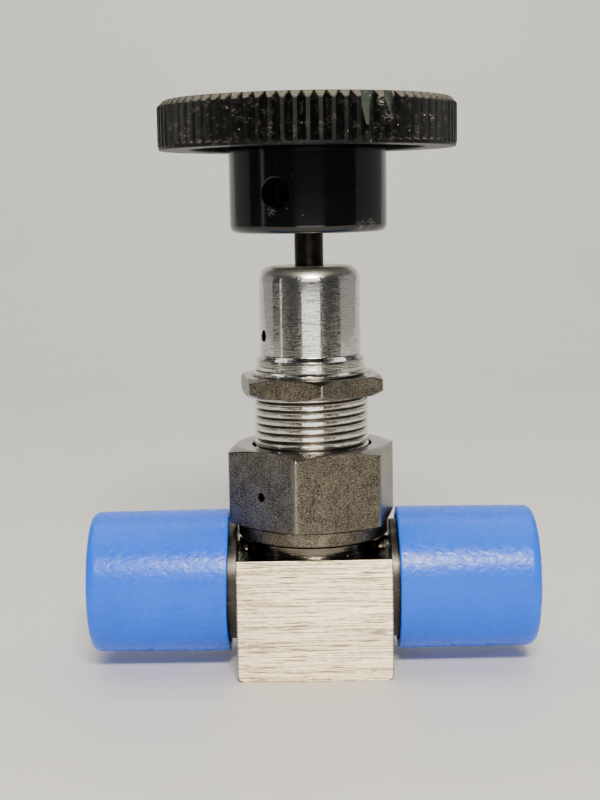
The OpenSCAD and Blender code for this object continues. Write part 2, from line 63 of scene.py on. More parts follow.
# Points closer than SAME_POINT millimetres are one, and edges above SHARP degrees aren't shaded smooth.
# A corner's round takes at most ROUND_SHARE of its shorter side. The point next to it lies HOLD
# millimetres further, and within HOLD_SHARE of that side.
SAME_POINT = 2e-4
SHARP = 32.0
ROUND_SHARE = 0.46
HOLD_SHARE = 0.48
HOLD = 0.05

Array = np.ndarray
Point = tuple[float, float, float]
Thing = bpy.types.Object
Material = bpy.types.Material
Tree = bpy.types.NodeTree
Socket = bpy.types.NodeSocket


class Body(Enum):
    """The CAD bodies that pieces ride on."""

    VALVE = "valve"
    HANDLE = "handle"
    PANEL_NUT = "panel_nut"
    LEFT_CAP = "left_cap"
    RIGHT_CAP = "right_cap"


class Side(Enum):
    """The two sides of the block along the flow."""

    LEFT = -1
    RIGHT = 1


# Placing


@dataclass(frozen=True)
class Extent:
    """Where a CAD node is at rest: its lowest and highest corner in millimetres."""

    low: Array
    high: Array

    @classmethod
    def of(cls, node: str) -> "Extent":
        """Reads a node's corners from the frame."""
        low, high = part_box(node)
        return cls(np.array(low) / MM, np.array(high) / MM)

    @property
    def middle(self) -> Array:
        """The middle of the box."""
        return (self.low + self.high) / 2

    def from_block(self, side: Side) -> tuple[float, float]:
        """How far along the flow the box starts and ends on its own side of the block."""
        ends = sorted(side.value * end for end in (self.low[0], self.high[0]))
        return float(ends[0]), float(ends[1])


def extent_of(node: str) -> Any:
    """A dataclass field that reads where a CAD node is."""
    return field(default_factory=lambda: Extent.of(node))


def full_turn(columns: int) -> Array:
    """Angles of one whole turn in radians, with the first angle again at the end to close the seam."""
    return np.linspace(0, TURN, columns + 1)


def ease_max(a: Array, b: Array | float, width: float) -> Array:
    """The larger of two arrays, with the corner where they meet eased by a parabola of that width."""
    meet = np.maximum(width - np.abs(a - b), 0) / width
    return np.maximum(a, b) + meet**2 * width / 4


def ease_min(a: Array, b: Array | float, width: float) -> Array:
    """The smaller of two arrays, eased in the same way."""
    return -ease_max(-a, -b, width)


def rounded(corners: Array, radii: Array, steps: int = 5, closed: bool = False) -> Array:
    """Rounds the corners of one outline, or of a stack of outlines at once.

    Each corner gives steps + 3 points: an arc that touches both sides, and one point on each side
    next to it, which keeps the flats flat where their shading meets the arc's. The arc's middle
    lies on the bisector at radius / sin(half angle) from the corner.

    Args:
        corners: Points of shape (..., corners, 2) in millimetres.
        radii: Radius of each corner, which broadcasts to (..., corners).
        steps: Straight pieces in each arc.
        closed: Whether the last corner joins the first. Otherwise both ends stay as they are.

    Returns:
        Points of shape (..., points, 2).
    """
    corners = np.asarray(corners, float)
    radii = np.broadcast_to(np.asarray(radii, float), corners.shape[:-1])[..., None]
    to_last = np.roll(corners, 1, axis=-2) - corners
    to_next = np.roll(corners, -1, axis=-2) - corners
    len_last = np.linalg.norm(to_last, axis=-1, keepdims=True)
    len_next = np.linalg.norm(to_next, axis=-1, keepdims=True)
    to_last = to_last / np.maximum(len_last, TINY)
    to_next = to_next / np.maximum(len_next, TINY)
    shorter = np.minimum(len_last, len_next)
    cosine = np.clip((to_last * to_next).sum(-1, keepdims=True), -1, 1)
    half = np.arccos(cosine) / 2
    reach = np.minimum(radii / np.tan(half), ROUND_SHARE * shorter)
    radius = reach * np.tan(half)
    bisector = to_last + to_next
    bisector = bisector / np.maximum(np.linalg.norm(bisector, axis=-1, keepdims=True), TINY)
    middle = corners + bisector * radius / np.sin(half)
    start = corners + to_last * reach - middle
    end = corners + to_next * reach - middle
    share = np.linspace(0, 1, steps + 1)[:, None]
    bend = np.maximum(math.pi - 2 * half, 1e-4)[..., None, :]
    arc = (
        np.sin((1 - share) * bend) * start[..., None, :] + np.sin(share * bend) * end[..., None, :]
    ) / np.sin(bend) + middle[..., None, :]
    hold = np.minimum(reach + HOLD, HOLD_SHARE * shorter)
    before = (corners + to_last * hold)[..., None, :]
    after = (corners + to_next * hold)[..., None, :]
    points = np.concatenate([before, arc, after], axis=-2)
    points = points.reshape(*corners.shape[:-2], -1, 2)
    if closed:
        return points
    each = steps + 3
    inner = points[..., each:-each, :]
    return np.concatenate([corners[..., :1, :], inner, corners[..., -1:, :]], axis=-2)


def outline(*corners: tuple[float, float, float], steps: int = 4) -> Array:
    """An open outline from its corners.

    Args:
        corners: Radius, height and round of each corner in millimetres. Both ends stay sharp.
        steps: Straight pieces in each round.

    Returns:
        Points of shape (points, 2).
    """
    table = np.array(corners, float)
    return rounded(table[:, :2], table[:, 2], steps)


def refined(profile: Array, spacing: float) -> Array:
    """Adds evenly spread points to an outline's long sides.

    Args:
        profile: Points of shape (points, 2).
        spacing: Greatest distance between neighbours in millimetres.

    Returns:
        The outline with its old points among the new ones.
    """
    length = np.linalg.norm(np.diff(profile, axis=0), axis=1)
    count = np.maximum(np.ceil(length / spacing), 1).astype(int)
    side = np.repeat(np.arange(len(length)), count)
    first = np.concatenate([[0], np.cumsum(count)[:-1]])
    share = ((np.arange(count.sum()) - first[side]) / count[side])[:, None]
    points = profile[side] + share * (profile[side + 1] - profile[side])
    return np.concatenate([points, profile[-1:]])


def turned(profile: Array, angles: Array) -> Array:
    """Turns a profile of (radius, height) about Z: x = radius sin(angle), y = -radius cos(angle).

    Args:
        profile: Shape (rows, 2), or (angles, rows, 2) where each angle has a profile of its own.
        angles: Angles from the front, towards +X, in radians.

    Returns:
        Points of shape (rows, angles, 3).
    """
    radius, height = profile[..., 0], profile[..., 1]
    if profile.ndim == 2:
        radius, height = (np.repeat(part[:, None], len(angles), axis=1) for part in (radius, height))
    else:
        radius, height = radius.T, height.T
    return np.stack([radius * np.sin(angles), -radius * np.cos(angles), height], axis=-1)


def bar(radius: float, start: float, end: float, columns: int) -> Array:
    """A closed round bar that stands round Z: its flat ends and its wall, turned."""
    return turned(np.array([(0, start), (radius, start), (radius, end), (0, end)]), full_turn(columns))


def laid_on_flow(points: Array, axis_height: float, side: Side) -> Array:
    """Lays points that stand round Z along the flow: height becomes the distance along X."""
    x, y, z = np.moveaxis(points, -1, 0)
    return np.stack([side.value * z, x, axis_height - y], axis=-1)


@dataclass(frozen=True)
class Thread:
    """A single-start thread with 60 degree flanks.

    The surface's rows follow the helix, so that its crests and roots stay sharp: a row of phase p
    stands at height start + pitch (p + angle / turn), and its radius depends on p alone.
    """

    crest_radius: float
    pitch: float
    depth: float
    rows_per_turn: int = 20
    crest_share: float = 0.14
    root_share: float = 0.2
    ease: float = 0.25

    def wave(self, phase: Array) -> Array:
        """Radius at a phase, as a trapezoid wave with eased corners.

        Args:
            phase: Turns from the middle of a crest.

        Returns:
            The radius in millimetres.
        """
        away = np.abs((phase + 0.5) % 1 - 0.5)
        flank = (away - self.crest_share / 2) / (0.5 - self.crest_share / 2 - self.root_share / 2)
        sunk = ease_min(ease_max(flank, 0.0, self.ease), 1.0, self.ease)
        return self.crest_radius - self.depth * sunk

    def sunk(self, grid: Array) -> Array:
        """How far the points of a wound grid lie below the crests: from 0 to 1 at the root."""
        return np.clip((self.crest_radius - np.hypot(grid[..., 0], grid[..., 1])) / self.depth, 0, 1)

    def wind(self, bounds_low: Array, bounds_high: Array, angles: Array) -> Array:
        """Winds the thread between two limiting outlines, which meet at both ends.

        Args:
            bounds_low: Rows of (radius, height) that the surface doesn't go below.
            bounds_high: Rows of (radius, height) that it doesn't go above.
            angles: Angles of the columns in radians, over a whole turn.

        Returns:
            Points of shape (rows, angles, 3). Rows past an end lie on that end's circle.
        """
        start, end = bounds_high[0, 1], bounds_high[-1, 1]
        last = math.ceil((end - start) / self.pitch * self.rows_per_turn) + 1
        phase = np.arange(-self.rows_per_turn - 1, last)[:, None] / self.rows_per_turn
        height = np.clip(start + self.pitch * (phase + angles / TURN), start, end)
        low = np.interp(height, bounds_low[:, 1], bounds_low[:, 0])
        high = np.interp(height, bounds_high[:, 1], bounds_high[:, 0])
        radius = np.maximum(np.minimum(self.wave(phase), high), low)
        return np.stack([radius * np.sin(angles), -radius * np.cos(angles), height], axis=-1)


@dataclass(frozen=True)
class Hexagon:
    """The plan of a nut: six flats with slightly rounded upright edges."""

    across_flats: float
    near_corner: float
    edge_radius: float
    columns_per_flat: int = 26

    @property
    def apothem(self) -> float:
        """Distance of a flat from the axis."""
        return self.across_flats / 2

    @property
    def left_flat(self) -> float:
        """Angle in degrees of the middle of the flat on the left of the near corner."""
        return self.near_corner - 30

    def angles(self) -> Array:
        """Spreads the columns evenly over the flats and close together at each edge.

        Returns:
            One angle for each column, and the first one again at the end.
        """
        flat = np.sin(np.linspace(-1, 1, self.columns_per_flat + 1) * math.pi / 2) * math.pi / 6
        sixth = flat[:-1] + math.pi / 6
        steps = np.arange(6)[:, None] * math.pi / 3
        whole = np.append((steps + sixth).ravel(), TURN)
        return whole + math.radians(self.near_corner)

    def radius(self, angles: Array) -> Array:
        """Distance of the outline from the axis.

        On a flat it is the apothem over the cosine of the angle from the flat's middle. At an edge
        it is that of a small circle whose middle lies on the corner's line.

        Args:
            angles: Angles of the columns in radians.

        Returns:
            The distance at each angle in millimetres.
        """
        from_corner = angles - math.radians(self.near_corner)
        from_corner = (from_corner + math.pi / 6) % (math.pi / 3) - math.pi / 6
        from_middle = math.pi / 6 - np.abs(from_corner)
        flat = self.apothem / np.cos(from_middle)
        centre = (self.apothem - self.edge_radius) / math.cos(math.pi / 6)
        across = np.maximum(self.edge_radius**2 - (centre * np.sin(from_corner)) ** 2, 0)
        edge = centre * np.cos(from_corner) + np.sqrt(across)
        touch = math.atan2(self.edge_radius / 2, centre + self.edge_radius * math.cos(math.pi / 6))
        return np.where(np.abs(from_corner) < touch, edge, flat)


# Meshes


def close_up(mesh: bpy.types.Mesh, sharp: float) -> None:
    """Joins doubles, which closes seams and poles, drops slivers, turns the faces out and shades them.

    Args:
        mesh: The mesh to change.
        sharp: Angle in degrees above which an edge isn't shaded smooth.
    """
    work = bmesh.new()
    work.from_mesh(mesh)
    bmesh.ops.remove_doubles(work, verts=work.verts, dist=SAME_POINT * MM)
    bmesh.ops.dissolve_degenerate(work, edges=work.edges, dist=SAME_POINT * MM)
    if work.calc_volume(signed=True) < 0:
        bmesh.ops.reverse_faces(work, faces=work.faces)
    work.to_mesh(mesh)
    work.free()
    mesh.shade_smooth()
    mesh.set_sharp_from_angle(angle=math.radians(sharp))


def linked(name: str, data: bpy.types.ID) -> Thing:
    """Makes an object of a mesh, a light or a camera and links it to the scene.

    Args:
        name: Name of the object.
        data: The mesh, light or camera.

    Returns:
        The object.
    """
    thing = bpy.data.objects.new(name, data)
    bpy.context.scene.collection.objects.link(thing)
    return thing


@dataclass
class Shell:
    """A surface in the making: grids of points in millimetres that are joined where they meet."""

    name: str
    points: list[Array] = field(default_factory=list)
    quads: list[Array] = field(default_factory=list)
    masks: dict[str, list[Array]] = field(default_factory=dict)
    count: int = 0

    def add(self, grid: Array, **masks: Array) -> "Shell":
        """Adds a grid of quads between neighbouring points.

        Args:
            grid: Points of shape (rows, columns, 3).
            masks: Values for each point that its material reads, which broadcast to (rows, columns).

        Returns:
            The shell itself.
        """
        rows, columns = grid.shape[:2]
        index = np.arange(rows * columns).reshape(rows, columns) + self.count
        around = [index[:-1, :-1], index[:-1, 1:], index[1:, 1:], index[1:, :-1]]
        self.quads.append(np.stack(around, axis=-1).reshape(-1, 4))
        for name in set(self.masks) | set(masks):
            earlier = self.masks.setdefault(name, [np.zeros(self.count)])
            value = np.broadcast_to(np.asarray(masks.get(name, 0.0), float), (rows, columns))
            earlier.append(value.ravel())
        self.points.append(grid.reshape(-1, 3))
        self.count += rows * columns
        return self

    def object(self, sharp: float = SHARP) -> Thing:
        """Makes the mesh, closed and turned outwards, as an object at the origin.

        Args:
            sharp: Angle in degrees above which an edge isn't shaded smooth.

        Returns:
            The object, in metres.
        """
        mesh = bpy.data.meshes.new(self.name)
        mesh.from_pydata(np.concatenate(self.points) * MM, [], np.concatenate(self.quads))
        for name, values in self.masks.items():
            layer = mesh.attributes.new(name, "FLOAT", "POINT")
            layer.data.foreach_set("value", np.concatenate(values).astype(np.float32))
        close_up(mesh, sharp)
        return linked(self.name, mesh)


def shape_with(piece: Thing, grid: Array, operation: str = "DIFFERENCE", sharp: float = SHARP) -> None:
    """Cuts a closed tool out of a piece, or joins it on.

    Args:
        piece: The object to change. Its mesh is replaced by the result.
        grid: The tool's points, of shape (rows, columns, 3), closed at both ends.
        operation: DIFFERENCE or UNION.
        sharp: Angle in degrees above which an edge isn't shaded smooth.
    """
    tool = Shell("tool").add(grid).object()
    modifier = piece.modifiers.new("shape", "BOOLEAN")
    modifier.operation = operation
    modifier.object = tool
    modifier.solver = "EXACT"
    graph = bpy.context.evaluated_depsgraph_get()
    made = bpy.data.meshes.new_from_object(piece.evaluated_get(graph))
    piece.modifiers.clear()
    before, piece.data = piece.data, made
    bpy.data.meshes.remove(before)
    bpy.data.objects.remove(tool)
    close_up(made, sharp)


@dataclass(frozen=True)
class Hole:
    """A round hole with a bevelled mouth that leaves the stem's axis sideways.

    The tool starts early before the inner face. Its bevel starts at sunk below the skin and has
    grown by wider at proud above the skin, and the tool ends at past beyond the skin.
    """

    radius: float
    early: float
    sunk: float
    wider: float
    proud: float
    past: float
    columns: int = 48

    def drill(
        self, piece: Thing, inner: float, skin: float, height: float, angle: float, sharp: float = SHARP
    ) -> None:
        """Turns the hole's profile about its own axis, lays it to the front, turns it and cuts it out.

        Args:
            piece: The object to drill.
            inner: Where the piece's inside is, from the stem's axis.
            skin: Where the piece's outside is, from the stem's axis.
            height: Height of the hole's axis in millimetres.
            angle: Angle of the hole in degrees.
            sharp: Angle in degrees above which an edge isn't shaded smooth.
        """
        start, wide = inner - self.early, self.radius + self.wider
        profile = np.array([
            (0, start), (self.radius, start), (self.radius, skin - self.sunk),
            (wide, skin + self.proud), (wide, skin + self.past), (0, skin + self.past),
        ])
        x, y, z = np.moveaxis(turned(profile, full_turn(self.columns)), -1, 0)
        c, s = math.cos(math.radians(angle)), math.sin(math.radians(angle))
        shape_with(piece, np.stack([x * c + z * s, x * s - z * c, y + height], axis=-1), sharp=sharp)


def settle(piece: Thing, body: Body, slot: str, finish: Material, *nodes: str) -> Thing:
    """Dresses a piece, lets it ride on its body and stand for its CAD nodes, and reports it.

    Args:
        piece: The finished object.
        body: The body that it rides on.
        slot: The record's material slot. It is not used.
        finish: Its material.
        nodes: The CAD nodes that it stands for.

    Returns:
        The piece.
    """
    piece.data.materials.clear()
    piece.data.materials.append(finish)
    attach(piece, body.value)
    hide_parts(*nodes)
    LOG.info("%s: %d faces, finish %s", piece.name, len(piece.data.polygons), finish.name)
    return piece


# Finishes


def linear(colour: str) -> tuple[float, float, float, float]:
    """Turns an sRGB hex colour to linear red, green and blue, with full alpha.

    Args:
        colour: The colour as # and six hex digits.

    Returns:
        Red, green, blue and alpha, from 0 to 1.
    """
    parts = np.array([int(colour[i : i + 2], 16) for i in (1, 3, 5)]) / 255
    light = np.where(parts <= 0.04045, parts / 12.92, ((parts + 0.055) / 1.055) ** 2.4)
    return (*light.tolist(), 1.0)


def add_node(
    tree: Tree, kind: str, inputs: dict[str | int, Any], output: str | int = 0, **settings: Any
) -> Socket | None:
    """Adds a node to a tree, with its settings and links.

    Args:
        tree: The material's or world's node tree.
        kind: The node's type name, without ShaderNode.
        inputs: For each input, by name or number, a value, a hex colour or the output it is linked to.
        output: The output to return, by name or number.
        settings: The node's own properties.

    Returns:
        The output, or None where the node has none.
    """
    node = tree.nodes.new("ShaderNode" + kind)
    for name, value in settings.items():
        setattr(node, name, value)
    for key, value in inputs.items():
        if isinstance(value, Socket):
            tree.links.new(value, node.inputs[key])
        else:
            node.inputs[key].default_value = linear(value) if isinstance(value, str) else value
    return node.outputs[output] if node.outputs else None


def noise(tree: Tree, *cells: float, detail: float = 2.0) -> Socket:
    """Noise from 0 to 1 in the piece's own coordinates.

    Args:
        tree: The material's node tree.
        cells: Size of its cells in millimetres: one for all directions, or one each for X, Y and Z.
        detail: How many finer layers it has.

    Returns:
        The noise.
    """
    place = add_node(tree, "TexCoord", {}, "Object")
    scale = [1 / (size * MM) for size in (cells * 3)[:3]]
    spot = add_node(tree, "Mapping", {"Vector": place, "Scale": scale})
    return add_node(tree, "TexNoise", {"Vector": spot, "Scale": 1.0, "Detail": detail})


def dented(tree: Tree, *layers: tuple[Socket, float]) -> Socket:
    """Bumps for a surface, one layer on the other.

    Args:
        tree: The material's node tree.
        layers: For each layer its height from 0 to 1, and the millimetres that this stands for.

    Returns:
        The surface's normal.
    """
    under: dict[str, Socket] = {}
    for height, depth in layers:
        inputs = {"Height": height, "Distance": depth * MM, "Strength": 1.0}
        under = {"Normal": add_node(tree, "Bump", inputs | under)}
    return under["Normal"]


@dataclass(frozen=True)
class Finish:
    """A finish: nodes of its own that feed one Principled shader."""

    title: str = "finish"

    def material(self) -> Material:
        """Makes the material from the finish's own nodes.

        Returns:
            The material.
        """
        made = bpy.data.materials.new(self.title)
        made.use_nodes = True
        tree = made.node_tree
        tree.nodes.clear()
        skin = add_node(tree, "BsdfPrincipled", self.surface(tree))
        add_node(tree, "OutputMaterial", {"Surface": skin})
        return made

    def surface(self, tree: Tree) -> dict[str, Any]:
        """Adds the nodes that make this finish.

        Args:
            tree: The material's node tree.

        Returns:
            The Principled shader's inputs by name: values, hex colours or outputs.
        """
        raise NotImplementedError


@dataclass(frozen=True)
class MilledSteel(Finish):
    """Stainless steel bar, face-milled and belt-ground along its length.

    It shows as crisp brown-grey lines on a cream-white face, some of them as long as the face. The
    lines spread reflections across them, so that the face shines under a high light. The top and
    the neck above it are turned smooth and mirror the dark gap under the nut, and their colour is
    darkened as painted shade for the shadow under the nut. Short lines and scratches are given as
    shares of a line's spacing and length.
    """

    title: str = "ground_stainless_bar"
    light: str = "#ffefca"
    shade: str = "#9c907a"
    scratch: str = "#776b59"
    # Painted shade: this darker colour on the top face and neck stands in for the shadow under the nut.
    turned: str = "#6f695e"
    line: float = 0.2
    line_length: float = 16.0
    line_depth: float = 0.022
    short_line: tuple[float, float] = (0.8, 0.08)
    short_share: float = 0.6
    ground_range: tuple[float, float] = (0.66, 0.82)
    scratch_line: tuple[float, float] = (1.2, 0.4)
    scratch_range: tuple[float, float] = (0.58, 0.64)
    scratch_strength: float = 0.85
    scratch_depth: float = 0.014
    scratch_roughness: float = 0.15
    streak: float = 0.7
    streak_range: tuple[float, float] = (0.36, 0.6)
    streak_floor: float = 0.66
    level_above: float = 0.7
    ground_top: float = 20.2
    turned_and_painted_shade_fade: tuple[float, float] = (0.1, 0.02)
    roughness: float = 0.47
    brushed: float = 0.9
    turned_roughness: float = 0.14

    def lines(self, tree: Tree, across: float, along: float) -> Socket:
        """Noise in lines that run along X, level on the upright faces and flat on the top.

        Args:
            tree: The material's node tree.
            across: Spacing of the lines in millimetres.
            along: Their length in millimetres.

        Returns:
            The noise.
        """
        add = partial(add_node, tree)
        upward = add("SeparateXYZ", {0: add("TexCoord", {}, "Normal")}, 2)
        upward = add("Math", {0: upward}, operation="ABSOLUTE")
        level = add("Math", {0: upward, 1: self.level_above}, operation="GREATER_THAN")
        upright, flat = noise(tree, along, along, across), noise(tree, along, across, along)
        return add("Mix", {0: level, 2: upright, 3: flat})

    def surface(self, tree: Tree) -> dict[str, Any]:
        """Crisp scratches over fine lines and wider streaks give colour, gloss and height.

        Args:
            tree: The material's node tree.

        Returns:
            The Principled shader's inputs.
        """
        add = partial(add_node, tree)
        height = add("SeparateXYZ", {0: add("TexCoord", {}, "Object")}, 2)
        start, end = ((self.ground_top - below) * MM for below in self.turned_and_painted_shade_fade)
        upper = add("MapRange", {0: height, 1: start, 2: end})
        fine = self.lines(tree, self.line, self.line_length)
        short = self.lines(tree, self.short_line[0] * self.line, self.short_line[1] * self.line_length)
        short = add("Math", {0: short, 1: self.short_share}, operation="MULTIPLY")
        ground = add("Math", {0: fine, 1: short}, operation="ADD")
        ground = add("MapRange", {0: ground, 1: self.ground_range[0], 2: self.ground_range[1]})
        wide = self.lines(tree, self.streak, self.line_length)
        start, end = self.streak_range
        wide = add("MapRange", {0: wide, 1: start, 2: end, 3: self.streak_floor})
        share = add("Math", {0: ground, 1: wide}, operation="MULTIPLY")
        colour = add("Mix", {0: share, 6: self.shade, 7: self.light}, 2, data_type="RGBA")
        across, along = self.scratch_line
        scratch = self.lines(tree, across * self.line, along * self.line_length)
        start, end = self.scratch_range
        scratch = add("MapRange", {0: scratch, 1: start, 2: end, 4: self.scratch_strength})
        colour = add("Mix", {0: scratch, 6: colour, 7: self.scratch}, 2, data_type="RGBA")
        # Painted shade: the top face and neck take the darker colour for the shadow under the nut; their
        # lower roughness is the real turned finish.
        colour = add("Mix", {0: upper, 6: colour, 7: self.turned}, 2, data_type="RGBA")
        rougher = self.roughness + self.scratch_roughness
        rough = add("MapRange", {0: scratch, 3: self.roughness, 4: rougher})
        whole = add("Math", {0: 1.0, 1: scratch}, operation="SUBTRACT")
        return {
            "Base Color": colour,
            "Metallic": 1.0,
            "Roughness": add("Mix", {0: upper, 2: rough, 3: self.turned_roughness}),
            "Tangent": add("CombineXYZ", {1: 0.3, 2: 1.0}),
            "Anisotropic": add("Mix", {0: upper, 2: self.brushed, 3: 0.0}),
            "Normal": dented(tree, (fine, self.line_depth), (whole, self.scratch_depth)),
        }


@dataclass(frozen=True)
class MirrorTurnedSteel(Finish):
    """Stainless steel turned and polished on a lathe.

    It mirrors its surroundings in upright bands, crossed by hair-fine rings and scattered specks.
    From dull_above on, in millimetres up, the round was finished by hand and scatters more. In thread
    roots and reliefs, where the mesh's mask is set, its colour is darkened as painted shade for the
    shade in those recesses, and it scatters more.
    """

    title: str = "mirror_turned_stainless"
    light: str = "#e9e5dc"
    shade: str = "#8b8578"
    # Painted shade: this dark colour for thread roots and reliefs stands in for the shade in those recesses.
    grime: str = "#2b2824"
    ring: float = 0.14
    ring_length: float = 2.4
    ring_range: tuple[float, float] = (0.56, 0.66)
    ring_depth: float = 0.0034
    long_ring: float = 20.0
    long_ring_depth: float = 0.0006
    grain: float = 0.18
    grain_range: tuple[float, float] = (0.54, 0.66)
    grain_depth: float = 0.006
    mark_share: float = 0.6
    mark_roughness: float = 0.04
    painted_shade_above: float = 0.5
    roughness: float = 0.06
    dull: float = 0.35
    dull_above: float = 65.35
    dull_fade: float = 0.6
    axis: Point = (0.0, 0.0, 1.0)

    def rings(self, tree: Tree, length: float) -> Socket:
        """Noise that is fine along the axis and as long round it as given."""
        return noise(tree, *(self.ring if part else length for part in self.axis))

    def surface(self, tree: Tree) -> dict[str, Any]:
        """Short scratches and grains stand out of the mirror and throw the light elsewhere.

        Args:
            tree: The material's node tree.

        Returns:
            The Principled shader's inputs.
        """
        add = partial(add_node, tree)
        scratches = self.rings(tree, self.ring_length)
        scratches = add("MapRange", {0: scratches, 1: self.ring_range[0], 2: self.ring_range[1]})
        grains = noise(tree, self.grain, detail=3.0)
        grains = add("MapRange", {0: grains, 1: self.grain_range[0], 2: self.grain_range[1]})
        marks = add("Math", {0: scratches, 1: grains}, operation="MAXIMUM")
        height = add("SeparateXYZ", {0: add("TexCoord", {}, "Object")}, 2)
        start, end = ((self.dull_above + part * self.dull_fade) * MM for part in (-1, 1))
        by_hand = add("MapRange", {0: height, 1: start, 2: end, 4: self.dull})
        grime = add("Attribute", {}, "Fac", attribute_name="grime")
        rough = add("MapRange", {0: marks, 3: self.roughness, 4: self.roughness + self.mark_roughness})
        for other in (by_hand, add("Math", {0: grime, 1: self.dull}, operation="MULTIPLY")):
            rough = add("Math", {0: rough, 1: other}, operation="MAXIMUM")
        share = add("Math", {0: marks, 1: self.mark_share}, operation="MULTIPLY")
        colour = add("Mix", {0: share, 6: self.light, 7: self.shade}, 2, data_type="RGBA")
        # Painted shade: thread roots and reliefs are darkened in colour for the shade in those recesses.
        share = add("MapRange", {0: grime, 1: self.painted_shade_above})
        bumps = (
            (scratches, self.ring_depth), (grains, self.grain_depth),
            (self.rings(tree, self.long_ring), self.long_ring_depth),
        )
        return {
            "Base Color": add("Mix", {0: share, 6: colour, 7: self.grime}, 2, data_type="RGBA"),
            "Metallic": 1.0,
            "Roughness": rough,
            "Normal": dented(tree, *bumps),
        }


@dataclass(frozen=True)
class TumbledSteel(Finish):
    """Stainless hexagon bar that was tumbled, with its chamfers turned bright afterwards.

    The flats are grey-brown and finely pitted, and the turned faces and worn edges shine.
    """

    title: str = "tumbled_stainless_hexagon"
    dark: str = "#423d34"
    pale: str = "#aea593"
    bright: str = "#827d73"
    pit: Point = (0.308, 0.308, 0.14)
    pit_depth: float = 0.085
    ring: Point = (6.0, 6.0, 0.12)
    ring_depth: float = 0.002
    cloud: float = 2.6
    roughness: float = 0.33
    turned_roughness: float = 0.16

    def surface(self, tree: Tree) -> dict[str, Any]:
        """Pits and clouds on the flats, with fine rings where the mesh's mask says turned.

        Args:
            tree: The material's node tree.

        Returns:
            The Principled shader's inputs.
        """
        add = partial(add_node, tree)
        face = add("Attribute", {}, "Fac", attribute_name="turned")
        pits = noise(tree, *self.pit, detail=3.0)
        clouds = add("Math", {0: noise(tree, self.cloud), 1: 0.25}, operation="MULTIPLY")
        share = add("Math", {0: pits, 1: clouds}, operation="ADD")
        share = add("MapRange", {0: share, 1: 0.5, 2: 0.94})
        colour = add("Mix", {0: share, 6: self.dark, 7: self.pale}, 2, data_type="RGBA")
        plain = add("Math", {0: 1.0, 1: face}, operation="SUBTRACT")
        pits = add("Math", {0: plain, 1: pits}, operation="MULTIPLY")
        rings = noise(tree, *self.ring)
        return {
            "Base Color": add("Mix", {0: face, 6: colour, 7: self.bright}, 2, data_type="RGBA"),
            "Metallic": 1.0,
            "Roughness": add("MapRange", {0: face, 3: self.roughness, 4: self.turned_roughness}),
            "Normal": dented(tree, (rings, self.ring_depth), (pits, self.pit_depth)),
        }


